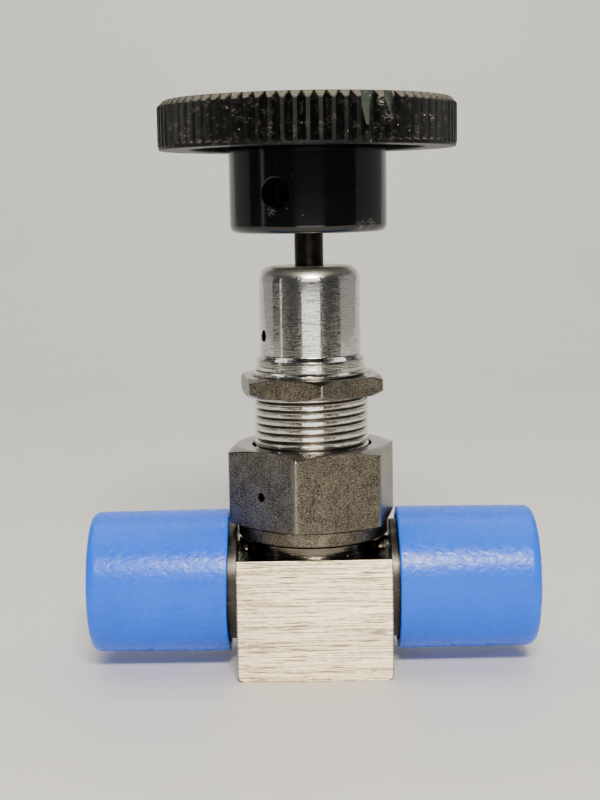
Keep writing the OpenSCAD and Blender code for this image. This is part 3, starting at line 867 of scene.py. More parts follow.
@dataclass(frozen=True)
class MouldedPhenolic(Finish):
    """Black phenolic resin, compression moulded in a polished mould.

    The hub keeps the mould's gloss. The rim is handled: dusty specks, grey bevels and chips. The bevels' grey
    is partly wear and partly a painted reflection of the light from above.
    Each scuffed spot has a centre and a reach in millimetres, and a strength.
    """

    title: str = "moulded_black_phenolic"
    black: str = "#050505"
    # Bevel colour: partly wear, partly a painted reflection of the light from above.
    worn: str = "#686457"
    chipped: str = "#343c36"
    dust: str = "#b9b7ae"
    speck: float = 0.85
    speck_range: tuple[float, float] = (0.16, 0.08)
    speck_picked: tuple[float, float] = (0.8, 0.9)
    speck_share: tuple[float, float] = (0.12, 0.8)
    hair: Point = (0.6, 0.6, 0.14)
    hair_range: tuple[float, float] = (0.5, 0.6)
    patch: float = 1.3
    patch_range: tuple[float, float] = (0.5, 0.66)
    patch_strength: float = 0.1
    spot_core: float = 0.3
    mottle: float = 0.35
    mottle_depth: float = 0.012
    ripple: float = 2.4
    ripple_depth: float = 0.004
    roughness: float = 0.13
    rim_roughness: float = 0.42
    worn_roughness: float = 0.62
    scuffs: tuple[tuple[Point, float, float], ...] = ()

    def surface(self, tree: Tree) -> dict[str, Any]:
        """Layers from the mesh's masks: rim, bevel and chip, with specks and scuffed spots.

        Args:
            tree: The material's node tree.

        Returns:
            The Principled shader's inputs.
        """
        add = partial(add_node, tree)
        names = ("rim", "bevel", "chip")
        rim, bevel, chip = (add("Attribute", {}, "Fac", attribute_name=name) for name in names)
        mottle, ripple = noise(tree, self.mottle, detail=4.0), noise(tree, self.ripple)
        specks, scuffs = self.specks(tree, rim), self.scuffed(tree, rim)
        marks = add("Math", {0: specks, 1: scuffs}, operation="MAXIMUM")
        # The bevels' lighter, patchy colour is partly wear and partly a painted reflection of the light from
        # above.
        patchy = add("MapRange", {0: mottle, 1: 0.3, 2: 0.6, 3: 0.45})
        bevel = add("Math", {0: bevel, 1: patchy}, operation="MULTIPLY")
        colour = self.black
        for share, layer in ((bevel, self.worn), (chip, self.chipped), (marks, self.dust)):
            colour = add("Mix", {0: share, 6: colour, 7: layer}, 2, data_type="RGBA")
        dull = add("Math", {0: bevel, 1: marks}, operation="MAXIMUM")
        dull = add("Math", {0: dull, 1: chip}, operation="MAXIMUM")
        rough = add("MapRange", {0: rim, 3: self.roughness, 4: self.rim_roughness})
        on_rim = add("Math", {0: rim, 1: mottle}, operation="MULTIPLY")
        return {
            "Base Color": colour,
            "Roughness": add("Mix", {0: dull, 2: rough, 3: self.worn_roughness}),
            "IOR": 1.52,
            "Specular IOR Level": add("MapRange", {0: rim, 3: 0.5, 4: 0.24}),
            "Normal": dented(tree, (ripple, self.ripple_depth), (on_rim, self.mottle_depth)),
        }

    def scuffed(self, tree: Tree, rim: Socket) -> Socket:
        """Short pale hairs, faint in patches of the rim and strong inside each scuffed spot.

        A spot has its full strength up to spot_core of its reach from its centre, and none from its
        reach on.

        Args:
            tree: The material's node tree.
            rim: The mask of the rim.

        Returns:
            The strength of the hairs, from 0 to 1.
        """
        add = partial(add_node, tree)
        hairs = noise(tree, *self.hair, detail=4.0)
        hairs = add("MapRange", {0: hairs, 1: self.hair_range[0], 2: self.hair_range[1]})
        patches = noise(tree, self.patch, detail=3.0)
        start, end = self.patch_range
        patches = add("MapRange", {0: patches, 1: start, 2: end, 4: self.patch_strength})
        spots = add("Math", {0: rim, 1: patches}, operation="MULTIPLY")
        for centre, reach, strength in self.scuffs:
            middle = tuple(part * MM for part in centre)
            place = add("TexCoord", {}, "Object")
            away = add("VectorMath", {0: place, 1: middle}, "Value", operation="DISTANCE")
            core = self.spot_core * reach * MM
            spot = add("MapRange", {0: away, 1: core, 2: reach * MM, 3: strength, 4: 0.0})
            spots = add("Math", {0: spots, 1: spot}, operation="MAXIMUM")
        return add("Math", {0: hairs, 1: spots}, operation="MULTIPLY")

    def specks(self, tree: Tree, rim: Socket) -> Socket:
        """Small pale dots: cells whose random colour is high show a dot at their middle.

        Args:
            tree: The material's node tree.
            rim: The mask of the rim, where the dots are strongest.

        Returns:
            The strength of the dots, from 0 to 1.
        """
        add = partial(add_node, tree)
        inputs = {"Vector": add("TexCoord", {}, "Object"), "Scale": 1 / (self.speck * MM)}
        cells = add("TexVoronoi", inputs, "Distance")
        dot = add("MapRange", {0: cells, 1: self.speck_range[0], 2: self.speck_range[1]})
        pick = add("SeparateColor", {0: cells.node.outputs["Color"]})
        pick = add("MapRange", {0: pick, 1: self.speck_picked[0], 2: self.speck_picked[1]})
        share = add("MapRange", {0: rim, 3: self.speck_share[0], 4: self.speck_share[1]})
        dot = add("Math", {0: dot, 1: pick}, operation="MULTIPLY")
        return add("Math", {0: dot, 1: share}, operation="MULTIPLY")


@dataclass(frozen=True)
class Grained(Finish):
    """What the plainer finishes share: clouds between two colours, and a grain for the height.

    Sizes are in millimetres. The colours blend where the clouds are between both shares of tint.
    """

    dark: str = "#000000"
    pale: str = "#ffffff"
    cloud: Point = (5.0, 5.0, 0.14)
    tint: tuple[float, float] = (0.35, 0.65)
    grain: Point = (5.0, 5.0, 0.14)
    grain_detail: float = 3.0
    depth: float = 0.003

    def layers(self, tree: Tree) -> tuple[Socket, Socket, dict[str, Any]]:
        """The clouds, the grain, and the inputs that follow from them.

        Args:
            tree: The material's node tree.

        Returns:
            The clouds, the grain and the Principled shader's inputs for colour and bumps.
        """
        clouds = noise(tree, *self.cloud, detail=3.0)
        grain = noise(tree, *self.grain, detail=self.grain_detail)
        share = add_node(tree, "MapRange", {0: clouds, 1: self.tint[0], 2: self.tint[1]})
        colours = {0: share, 6: self.dark, 7: self.pale}
        colour = add_node(tree, "Mix", colours, 2, data_type="RGBA")
        return clouds, grain, {"Base Color": colour, "Normal": dented(tree, (grain, self.depth))}


@dataclass(frozen=True)
class BlackOxideSteel(Grained):
    """Carbon steel with a hot black oxide and oil, on a turned surface.

    It is a satin near-black that still shows faint turning rings.
    """

    title: str = "black_oxide_steel"
    dark: str = "#1b1a1a"
    pale: str = "#2c2724"
    cloud: Point = (1.6, 1.6, 1.6)
    tint: tuple[float, float] = (0.4, 0.65)
    grain: Point = (5.0, 5.0, 0.15)
    grain_detail: float = 2.0
    depth: float = 0.004
    gloss: tuple[float, float] = (0.28, 0.44)

    def surface(self, tree: Tree) -> dict[str, Any]:
        """Rings for the height, and slow clouds between black and brown that vary the gloss.

        Args:
            tree: The material's node tree.

        Returns:
            The Principled shader's inputs.
        """
        clouds, _, inputs = self.layers(tree)
        rough = {0: clouds, 1: 0.3, 2: 0.7, 3: self.gloss[0], 4: self.gloss[1]}
        return inputs | {"Metallic": 0.85, "Roughness": add_node(tree, "MapRange", rough)}


@dataclass(frozen=True)
class SoftPolyethylene(Grained):
    """Low-density polyethylene, injection moulded thin and soft.

    Light sinks in a little, and the skin is waxy, with a fine crinkle that breaks up highlights.
    """

    title: str = "soft_blue_polyethylene"
    dark: str = "#0064f6"
    pale: str = "#0069ff"
    cloud: Point = (6.0, 6.0, 6.0)
    grain: Point = (1.12, 0.8, 0.8)
    grain_detail: float = 4.0
    depth: float = 0.09
    gloss: tuple[float, float] = (0.22, 0.38)

    def surface(self, tree: Tree) -> dict[str, Any]:
        """Crinkles for the height and the gloss, and light that sinks in.

        Args:
            tree: The material's node tree.

        Returns:
            The Principled shader's inputs.
        """
        _, crinkles, inputs = self.layers(tree)
        rough = {0: crinkles, 1: 0.35, 2: 0.65, 3: self.gloss[0], 4: self.gloss[1]}
        return inputs | {
            "Roughness": add_node(tree, "MapRange", rough),
            "IOR": 1.51,
            "Specular IOR Level": 0.38,
            "Subsurface Weight": 0.15,
            "Subsurface Radius": (0.5, 0.8, 1.2),
            "Subsurface Scale": 0.8 * MM,
        }


@dataclass(frozen=True)
class PlainMetal(Grained):
    """A turned or stamped metal of the inner pieces, with fine rings round the stem."""

    title: str = "turned_metal"
    dark: str = "#a5a199"
    pale: str = "#c9c6bf"
    gloss: tuple[float, float] = (0.19, 0.35)

    def surface(self, tree: Tree) -> dict[str, Any]:
        """Rings give the height, the gloss and a little colour.

        Args:
            tree: The material's node tree.

        Returns:
            The Principled shader's inputs.
        """
        _, rings, inputs = self.layers(tree)
        rough = {0: rings, 1: 0.3, 2: 0.7, 3: self.gloss[0], 4: self.gloss[1]}
        return inputs | {"Metallic": 1.0, "Roughness": add_node(tree, "MapRange", rough)}


@dataclass(frozen=True)
class MachinedFluoropolymer(Grained):
    """Fluoropolymer rod, turned: off-white, waxy and slightly see-through at its edge."""

    title: str = "machined_fluoropolymer"
    dark: str = "#dcd7c8"
    pale: str = "#e8e5da"
    cloud: Point = (5.0, 5.0, 0.2)
    grain: Point = (5.0, 5.0, 0.2)
    depth: float = 0.004

    def surface(self, tree: Tree) -> dict[str, Any]:
        """Turning rings for the height and the colour."""
        return self.layers(tree)[2] | {"Roughness": 0.4, "IOR": 1.42}


@dataclass(frozen=True)
class PaintedBoard(Finish):
    """Matte pale board for the floor and the backdrop, with a barely seen mottle."""

    title: str = "pale_board"
    pale: str = "#e6e5e0"
    shade: str = "#e0dfda"

    def surface(self, tree: Tree) -> dict[str, Any]:
        """Slow clouds between two near whites."""
        colours = {0: noise(tree, 60.0, detail=3.0), 6: self.shade, 7: self.pale}
        return {"Base Color": add_node(tree, "Mix", colours, 2, data_type="RGBA"), "Roughness": 0.6}


# Sub-assemblies


@dataclass(frozen=True)
class Block:
    """The machined block with its neck, and inside it the chamber, the seat and the flow passages.

    The neck starts neck_sunk below the block's top, with neck_root more inside the block. Each flow
    passage runs past the upright one that it meets by overrun, and a tool past a face by past.
    """

    place: Extent = extent_of("valve_body")
    inlet: Extent = extent_of("left_end")
    top: float = 20.2
    lower_round: float = 1.1
    edge_round: float = 0.2
    edge_hold: float = 0.1
    least_round: float = 0.02
    neck_radius: float = 11.1
    neck_cove: float = 0.5
    neck_round: float = 0.4
    neck_sunk: float = 0.1
    neck_root: float = 2.0
    chamber_radius: float = 7.6
    chamber_floor: float = 21.4
    seat_radius: float = 4.2
    seat_top: float = 22.8
    orifice_radius: float = 2.2
    riser_radius: float = 1.4
    flow_radius: float = 2.4
    recess_radius: float = 7.5
    recess_depth: float = 2.0
    overrun: float = 0.3
    past: float = 1.0

    def bar(self) -> Array:
        """The bar's outline carried from front to back.

        At both ends each outline is drawn in by edge_round (1 - sin t) while it moves outwards by
        edge_round (1 - cos t), which rounds the front and back edges.

        Returns:
            Points of shape (rows, columns, 3).
        """
        half = self.place.high[:2]
        edge = self.edge_round
        t = np.linspace(0, math.pi / 2, 6)
        drawn_in = np.concatenate([[edge + self.edge_hold], edge * (1 - np.sin(t)), [0.0]])
        forward = np.concatenate([[0.0], edge * (1 - np.cos(t)), [edge + self.edge_hold]])
        inset = np.concatenate([drawn_in, drawn_in[::-1]])
        depth = np.concatenate([forward - half[1], half[1] - forward[::-1]])
        x, low, high = half[0] - inset, inset, self.top - inset
        corners = np.stack([-x, low, x, low, x, high, -x, high], axis=-1).reshape(-1, 4, 2)
        radii = np.array([self.lower_round, self.lower_round, edge, edge]) - inset[:, None]
        rows = rounded(corners, np.maximum(radii, self.least_round), closed=True)
        rows = np.concatenate([rows, rows[:, :1]], axis=1)
        middle = np.broadcast_to([0.0, self.top / 2], (1, *rows.shape[1:]))
        rows = np.concatenate([middle, rows, middle])
        depth = np.concatenate([[-half[1]], depth, [half[1]]])[:, None]
        return np.stack([rows[..., 0], np.broadcast_to(depth, rows.shape[:2]), rows[..., 1]], -1)

    def neck(self) -> Array:
        """The round neck with a cove at its root, turned as a closed piece to join on.

        Returns:
            Points of shape (rows, columns, 3).
        """
        foot = self.neck_radius + self.neck_cove + self.neck_sunk
        sunk, high = self.top - self.neck_sunk, self.place.high[2]
        root = sunk - self.neck_root
        profile = outline(
            (0, root, 0), (foot, root, 0), (foot, sunk, 0),
            (self.neck_radius, sunk, self.neck_cove), (self.neck_radius, high, self.neck_round),
            (0, high, 0), steps=5,
        )
        return turned(profile, full_turn(128))

    def hollows(self) -> list[Array]:
        """The tools for the hollows, each a turned bar or profile.

        Returns:
            The room round the seat with the hole through it, the riser to the outlet bore, and the
            bore and the recess on both sides.
        """
        flow_height = self.inlet.middle[2]
        above = self.place.high[2] + self.past
        room = turned(np.array([
            (0, flow_height), (self.orifice_radius, flow_height),
            (self.orifice_radius, self.seat_top), (self.seat_radius, self.seat_top),
            (self.seat_radius, self.chamber_floor), (self.chamber_radius, self.chamber_floor),
            (self.chamber_radius, above), (0, above),
        ]), full_turn(96))
        riser_x = (self.seat_radius + self.chamber_radius) / 2
        riser = bar(self.riser_radius, flow_height, self.chamber_floor + self.past, 48)
        riser = riser + [riser_x, 0.0, 0.0]
        outside = self.place.high[0] + self.past
        recess = self.place.high[0] - self.recess_depth
        passages = [
            (self.flow_radius, -outside, self.orifice_radius + self.overrun),
            (self.flow_radius, riser_x - self.riser_radius - self.overrun, outside),
            (self.recess_radius, -outside, -recess),
            (self.recess_radius, recess, outside),
        ]
        return [room, riser] + [
            laid_on_flow(bar(*passage, 64), flow_height, Side.RIGHT) for passage in passages
        ]

    def build(self, finish: Material) -> Thing:
        """Joins the neck on, cuts the passages, and dresses the block.

        Args:
            finish: The bar's material.

        Returns:
            The piece.
        """
        piece = Shell("valve_block").add(self.bar()).object()
        shape_with(piece, self.neck(), "UNION")
        for hollow in self.hollows():
            shape_with(piece, hollow)
        return settle(piece, Body.VALVE, "brushed_block", finish, "valve_body")


@dataclass(frozen=True)
class ThreadedEnd:
    """One threaded end, turned about the flow axis, with a round sealing bead on its face.

    The thread grows to its full height over run_in, and its root ends rim before the face.
    """

    side: Side
    node: str
    thread: Thread = Thread(crest_radius=11.1, pitch=1.814, depth=1.1, rows_per_turn=16)
    spigot_radius: float = 7.5
    spigot_length: float = 2.0
    relief_radius: float = 9.9
    relief_width: float = 2.2
    bore_radius: float = 3.6
    bead_radius: float = 0.4
    bead_place: float = 6.7
    bevel: float = 1.0
    run_in: float = 0.8
    rim: float = 0.3
    # Painted shade: how strongly the relief is darkened, and how far past its ends, for the shade in the
    # narrow gap beside the block.
    grime: float = 0.96
    painted_shade_reach: float = 0.1

    def build(self, finish: Material) -> Thing:
        """Winds the thread between the relief and the bevelled face, and turns the rest.

        Args:
            finish: The ends' material, which is darkened as painted shade where the mesh's mask is set.

        Returns:
            The piece.
        """
        place = Extent.of(self.node)
        inner, outer = place.from_block(self.side)
        face = outer - self.bead_radius
        block_side = inner + self.spigot_length
        start = block_side + self.relief_width
        crest = self.thread.crest_radius
        nose, relief = crest - self.bevel, self.relief_radius
        full, fading = start + self.run_in, face - self.bevel
        high = np.array([(relief, start), (crest, full), (crest, fading), (nose, face)])
        low = np.array([(relief, start), (relief, face - self.rim), (nose, face)])
        t = np.linspace(0, math.pi, 9)
        bead = np.array([self.bead_place, face]) + self.bead_radius * np.stack([np.cos(t), np.sin(t)], -1)
        plain = outline(
            (*bead[-1], 0), (self.bore_radius, face, 0.3), (self.bore_radius, inner, 0.2),
            (self.spigot_radius, inner, 0.2), (self.spigot_radius, block_side, 0.05),
            (relief, block_side, 0.15), (relief, start, 0),
        )
        profile = np.concatenate([[(nose, face)], bead, plain])
        along, reach = profile[:, 1], self.painted_shade_reach
        in_relief = (along > block_side - reach) & (along < start + reach)
        angles = full_turn(128)
        rest, wound = turned(profile, angles), self.thread.wind(low, high, angles)
        shell = Shell(self.node.replace("end", "threaded_end"))
        # The relief and the thread roots carry the mask where shade is painted into the colour.
        for grid, grime in ((rest, self.grime * in_relief[:, None]), (wound, self.thread.sunk(wound))):
            shell.add(laid_on_flow(grid, place.middle[2], self.side), grime=grime)
        return settle(shell.object(), Body.VALVE, "turned_ends", finish, self.node)


@dataclass(frozen=True)
class PortCap:
    """One push-on cap: thin, soft and a little out of round, with a wavy mouth.

    Its closed end has a flat dimple, which starts and ends its step at two shares of the end's
    radius. The wall's two bulges go twice and five times round. They start at bulge_start outside
    the bore and are whole bulge_fade further out.
    """

    side: Side
    node: str
    body: Body
    phase: float
    bore_radius: float = 11.15
    taper: float = 0.18
    end_thickness: float = 1.2
    end_round: float = 1.5
    dimple_depth: float = 0.15
    dimple: tuple[float, float] = (0.62, 0.68)
    wave: float = 0.14
    lip: float = 4.0
    bulges: tuple[float, float] = (0.04, 0.02)
    bulge_start: float = 0.3
    bulge_fade: float = 0.4
    spare: float = 0.07
    spacing: float = 0.6

    def build(self, finish: Material) -> Thing:
        """Turns the cap's wall and bends it out of shape.

        The wall stands out by bulge sin(2a) + bulge sin(5a), and the mouth runs in and out by
        wave sin(2a) / 2 + wave sin(3a) / 2, which dies off over the lip's length.

        Args:
            finish: The caps' material.

        Returns:
            The piece.
        """
        place = Extent.of(self.node)
        mouth, closed = place.from_block(self.side)
        mouth_radius = (place.high[2] - place.low[2]) / 2 - self.spare
        end = mouth_radius - self.taper
        pocket, dimple = closed - self.end_thickness, closed - self.dimple_depth
        profile = outline(
            (0, dimple, 0), (end * self.dimple[0], dimple, 0.4), (end * self.dimple[1], closed, 0.4),
            (end, closed, self.end_round), (mouth_radius, mouth, 0.3), (self.bore_radius, mouth, 0.2),
            (self.bore_radius, pocket, 0.6), (0, pocket, 0), steps=8,
        )
        angles = full_turn(160)
        grid = turned(refined(profile, self.spacing), angles)
        twice = np.sin(2 * angles + self.phase)
        bulge = self.bulges[0] * twice + self.bulges[1] * np.sin(5 * angles)
        radius = np.hypot(grid[..., 0], grid[..., 1])
        outer = np.clip((radius - self.bore_radius - self.bulge_start) / self.bulge_fade, 0, 1)
        outer = outer * (grid[..., 2] < pocket + self.bulge_start)
        near = np.clip(1 - (grid[..., 2] - mouth) / self.lip, 0, 1) ** 2
        grid[..., :2] *= (1 + bulge * outer / np.maximum(radius, 1))[..., None]
        grid[..., 2] += self.wave / 2 * (twice + np.sin(3 * angles - self.phase)) * near
        shell = Shell(self.node.replace("cap", "port_cap"))
        shell.add(laid_on_flow(grid, place.middle[2], self.side))
        return settle(shell.object(), self.body, "blue_cap", finish, self.node)


@dataclass(frozen=True)
class Nut:
    """What both nuts share: a profile carried round a hexagon, bright where it is turned or worn.

    Its upright edges are worn over the outermost worn_edge millimetres.
    """

    place: Extent
    hexagon: Hexagon
    worn_edge: float

    def carried(
        self, name: str, corners: list[tuple[Any, Any, float]], tumbled: tuple[int, int], shine: float
    ) -> Thing:
        """Carries a profile round the hexagon.

        Args:
            name: Name of the piece.
            corners: For each corner its radius and height, as one value or one for each angle, and
                its round.
            tumbled: First and last corner of the sides that aren't turned.
            shine: Brightness of the worn edges in the mask, from 0 to 1.

        Returns:
            The piece, undressed.
        """
        angles = self.hexagon.angles()
        side = self.hexagon.radius(angles)
        first, last = tumbled
        steps = 4
        lines = [np.stack(np.broadcast_arrays(*corner[:2], side)[:2], -1) for corner in corners]
        profile = rounded(np.stack(lines, axis=1), [corner[2] for corner in corners], steps)
        inner = np.repeat(np.arange(1, len(corners) - 1), steps + 3)
        row = np.concatenate([[0], inner, [len(corners) - 1]])
        starts, ends = np.append(True, row[1:] != row[:-1]), np.append(row[1:] != row[:-1], True)
        plain = ((row > first) & (row < last)) | ((row == first) & ends) | ((row == last) & starts)
        worn = np.clip((side - side.max()) / self.worn_edge + 1, 0, 1)
        worn = worn * ((row == first) | (row == first + 1))[:, None]
        bright = np.maximum(np.where(plain, 0.0, 1.0)[:, None], shine * worn)
        return Shell(name).add(turned(profile, angles), turned=bright).object()


@dataclass(frozen=True)
class UnionNut(Nut):
    """The nut that clamps the bonnet: a hexagon with turned chamfers above a round collar.

    Its turned faces are face_step inside the flats at the top and low_step further in below. The
    closed profile starts and ends in its mouth, seam below the top.
    """

    place: Extent = extent_of("bonnet_nut")
    hexagon: Hexagon = Hexagon(across_flats=25.4, near_corner=-11.4, edge_radius=0.5)
    worn_edge: float = 0.12
    shine: float = 0.8
    face_step: float = 0.2
    low_step: float = 0.25
    seam: float = 1.0
    collar_top: float = 24.5
    collar_radius: float = 12.5
    collar_bevel: float = 0.4
    collar_step: float = 0.12
    bore_radius: float = 11.15
    bore_top: float = 35.0
    mouth_radius: float = 9.98
    top_chamfer: float = 0.8
    low_chamfer: float = 0.4
    vent: Hole = Hole(0.7, early=0.0, sunk=0.08, wider=0.1, proud=0.02, past=0.2)
    vent_height: float = 30.0

    def build(self, finish: Material) -> Thing:
        """Carries a profile round the hexagon, and drills the vent in the flat left of the front.

        The chamfer is a cone, so it drops by chamfer (radius - face) / (corner - face) where it
        leaves a side at that radius, which draws an arc on each flat.

        Args:
            finish: The nuts' material.

        Returns:
            The piece.
        """
        low, high, apothem = self.place.low[2], self.place.high[2], self.hexagon.apothem
        side = self.hexagon.radius(self.hexagon.angles())
        face, bevel, collar = apothem - self.face_step, self.collar_bevel, self.collar_radius
        share = (side - face) / (apothem / math.cos(math.pi / 6) - face)
        piece = self.carried("union_nut", [
            (self.mouth_radius, high - self.seam, 0), (self.mouth_radius, high, 0.25), (face, high, 0.15),
            (side, high - self.top_chamfer * share, 0.16),
            (side, self.collar_top + self.low_chamfer * share, 0.16),
            (face - self.low_step, self.collar_top, 0.05),
            (collar, self.collar_top - self.collar_step, 0.1),
            (collar, low + bevel, 0.15), (collar - bevel, low, 0.12), (self.bore_radius, low, 0.15),
            (self.bore_radius, self.bore_top, 0.1), (self.mouth_radius, self.bore_top, 0.1),
            (self.mouth_radius, high - self.seam, 0),
        ], (3, 7), self.shine)
        self.vent.drill(piece, self.mouth_radius, apothem, self.vent_height, self.hexagon.left_flat)
        return settle(piece, Body.VALVE, "tumbled_nuts", finish, "bonnet_nut")


@dataclass(frozen=True)
class PanelNut(Nut):
    """The thin nut on the bonnet's thread, whose flats end in arcs at both rims."""

    place: Extent = extent_of("panel_nut")
    hexagon: Hexagon = Hexagon(across_flats=22.1, near_corner=8.0, edge_radius=0.5)
    worn_edge: float = 0.15
    shine: float = 1.0
    face_step: float = 0.15
    bore_radius: float = 9.575
    bore_bevel: float = 0.4
    chamfer: float = 0.72
    chamfer_start: float = 0.45
    least_drop: float = 0.05
    drop_ease: float = 0.15

    def build(self, finish: Material) -> Thing:
        """Carries a profile round the hexagon, with the same turned chamfer at both rims.

        The chamfer's cone only meets the sides beyond its own start, so that it cuts the ends of
        each flat round and leaves the middle straight.

        Args:
            finish: The nuts' material.

        Returns:
            The piece.
        """
        low, high, apothem = self.place.low[2], self.place.high[2], self.hexagon.apothem
        side = self.hexagon.radius(self.hexagon.angles())
        cone = apothem + self.chamfer_start
        drop = self.chamfer * (side - cone) / (apothem / math.cos(math.pi / 6) - cone)
        drop = ease_max(drop, self.least_drop, self.drop_ease)
        face = np.minimum(side - self.face_step, cone)
        middle, bore, bevel = (low + high) / 2, self.bore_radius, self.bore_bevel
        piece = self.carried("thin_nut", [
            (bore, middle, 0), (bore, high - bevel, 0.05), (bore + bevel, high, 0.05),
            (face, high, 0.15), (side, high - drop, 0.22), (side, low + drop, 0.22),
            (face, low, 0.15), (bore + bevel, low, 0.05), (bore, low + bevel, 0.05), (bore, middle, 0),
        ], (4, 5), self.shine)
        return settle(piece, Body.PANEL_NUT, "tumbled_nuts", finish, "panel_nut")


@dataclass(frozen=True)
class Bonnet:
    """The bonnet: clamped flange, panel thread, two bands and the mirror-polished sleeve.

    The sleeve's top is a quarter ellipse, top_round wide and top_fall high. Each corner of the bands
    says how far it is inside the first band and above the thread's top, and its round.
    """

    place: Extent = extent_of("bonnet")
    thread: Thread = Thread(
        crest_radius=9.525, pitch=1.27, depth=0.5, crest_share=0.46, root_share=0.12
    )
    sleeve_radius: float = 8.37
    top_round: float = 2.0
    top_fall: float = 2.6
    flange_top: float = 35.0
    thread_top: float = 49.9
    relief_depth: float = 0.9
    foot_height: float = 0.5
    run_out: float = 0.4
    band_radius: float = 9.1
    bands: tuple[Point, ...] = (
        (0.0, 0.0, 0.0), (0.0, 0.7, 0.12), (0.25, 0.85, 0.05), (0.25, 1.0, 0.05), (0.05, 1.2, 0.15),
        (0.1, 1.8, 0.15),
    )
    sleeve_foot: float = 2.5
    sleeve_cove: float = 0.3
    bore_radius: float = 7.2
    lid: float = 1.8
    drive_radius: float = 4.02
    drive_length: float = 8.0
    stem_hole_radius: float = 2.43
    vent: Hole = Hole(0.95, early=1.0, sunk=0.12, wider=0.2, proud=0.08, past=0.5)
    vent_height: float = 55.7
    vent_angle: float = -66.6

    def sleeve(self, foot: float, relief: float) -> Array:
        """The closed profile apart from the thread.

        Args:
            foot: Height where the thread starts.
            relief: Radius of the relief below it.

        Returns:
            Points of (radius, height), from the thread's top over the sleeve and back up inside
            and round the flange to the thread's foot.
        """
        low, high = self.place.low[2], self.place.high[2]
        end, flange = self.thread_top, self.place.high[0]
        t = np.linspace(0, math.pi / 2, 13)
        dome = np.stack([
            self.sleeve_radius - self.top_round * (1 - np.cos(t)), high - self.top_fall * (1 - np.sin(t))
        ], axis=-1)
        bands = outline(
            *((self.band_radius - inside, end + above, edge) for inside, above, edge in self.bands),
            (self.sleeve_radius, end + self.sleeve_foot, self.sleeve_cove), (*dome[0], 0),
        )
        under_lid = high - self.lid
        drive_low = under_lid - self.drive_length
        inside = outline(
            (*dome[-1], 0), (self.stem_hole_radius, high, 0.25), (self.stem_hole_radius, under_lid, 0.1),
            (self.drive_radius, under_lid, 0.1), (self.drive_radius, drive_low, 0.2),
            (self.bore_radius, drive_low, 0.3), (self.bore_radius, low, 0.15), (flange, low, 0.2),
            (flange, self.flange_top, 0.2), (relief, self.flange_top, 0.1), (relief, foot, 0), steps=3,
        )
        return np.concatenate([bands[:-1], dome, inside[1:]])

    def build(self, finish: Material) -> Thing:
        """Winds the thread, turns the rest in one closed profile, and drills the vent.

        Args:
            finish: The bonnet's material.

        Returns:
            The piece.
        """
        crest, band, end = self.thread.crest_radius, self.band_radius, self.thread_top
        foot, relief = self.flange_top + self.foot_height, crest - self.relief_depth
        full, fading = foot + self.relief_depth, end - self.run_out
        upper = np.array([(relief, foot), (crest, full), (crest, fading), (band, end)])
        lower = np.array([(relief, foot), (relief, end - self.relief_depth), (band, end)])
        angles = full_turn(160)
        wound = self.thread.wind(lower, upper, angles)
        shell = Shell("bonnet_sleeve").add(turned(self.sleeve(foot, relief), angles))
        # The thread roots carry the mask where shade is painted into the colour.
        piece = shell.add(wound, grime=self.thread.sunk(wound)).object()
        self.vent.drill(piece, self.bore_radius, self.sleeve_radius, self.vent_height, self.vent_angle)
        return settle(piece, Body.VALVE, "polished_bonnet", finish, "bonnet")


@dataclass(frozen=True)
class DriveStem:
    """The turned stem between the bonnet and the wheel, with its drive thread inside the bonnet."""

    place: Extent = extent_of("drive_stem")
    bonnet: Extent = extent_of("bonnet")
    thread: Thread = Thread(crest_radius=3.97, pitch=1.27, depth=0.7)
    shaft_radius: float = 2.38
    nose_radius: float = 3.07
    thread_length: float = 5.7
    run_out: float = 0.6
    shoulder: float = 0.1
    below_bonnet_top: float = 3.905

    def build(self, finish: Material) -> Thing:
        """Winds the drive thread, and turns the nose below it and the shaft above it.

        Args:
            finish: The stem's material.

        Returns:
            The piece.
        """
        low, high = self.place.low[2], self.place.high[2]
        crest, nose, shaft = self.thread.crest_radius, self.nose_radius, self.shaft_radius
        end = self.bonnet.high[2] - self.below_bonnet_top
        start = end - self.thread_length
        full, fading = start + self.run_out, end - self.run_out
        upper = np.array([(nose, start), (crest, full), (crest, fading), (nose, end)])
        lower = np.array([(nose, start), (nose, end)])
        above = outline((nose, end, 0), (shaft, end + self.shoulder, 0.05), (shaft, high, 0.4), (0, high, 0))
        below = outline((0, low, 0), (nose, low, 0.4), (nose, start, 0))
        angles = full_turn(96)
        shell = Shell("drive_stem_turned")
        for grid in (turned(above, angles), turned(below, angles), self.thread.wind(lower, upper, angles)):
            shell.add(grid)
        return settle(shell.object(), Body.HANDLE, "black_steel", finish, "drive_stem")


@dataclass(frozen=True)
class Chip:
    """A chip off the rim: a cut that is deepest and widest at the top and narrows lower down.

    Each row of its outline says how far down it is, as a share of the length, and where the left
    and right sides are, in teeth from the middle of its own tooth.
    """

    tooth: int
    length: float
    depth: tuple[float, float]
    outline: tuple[Point, ...]


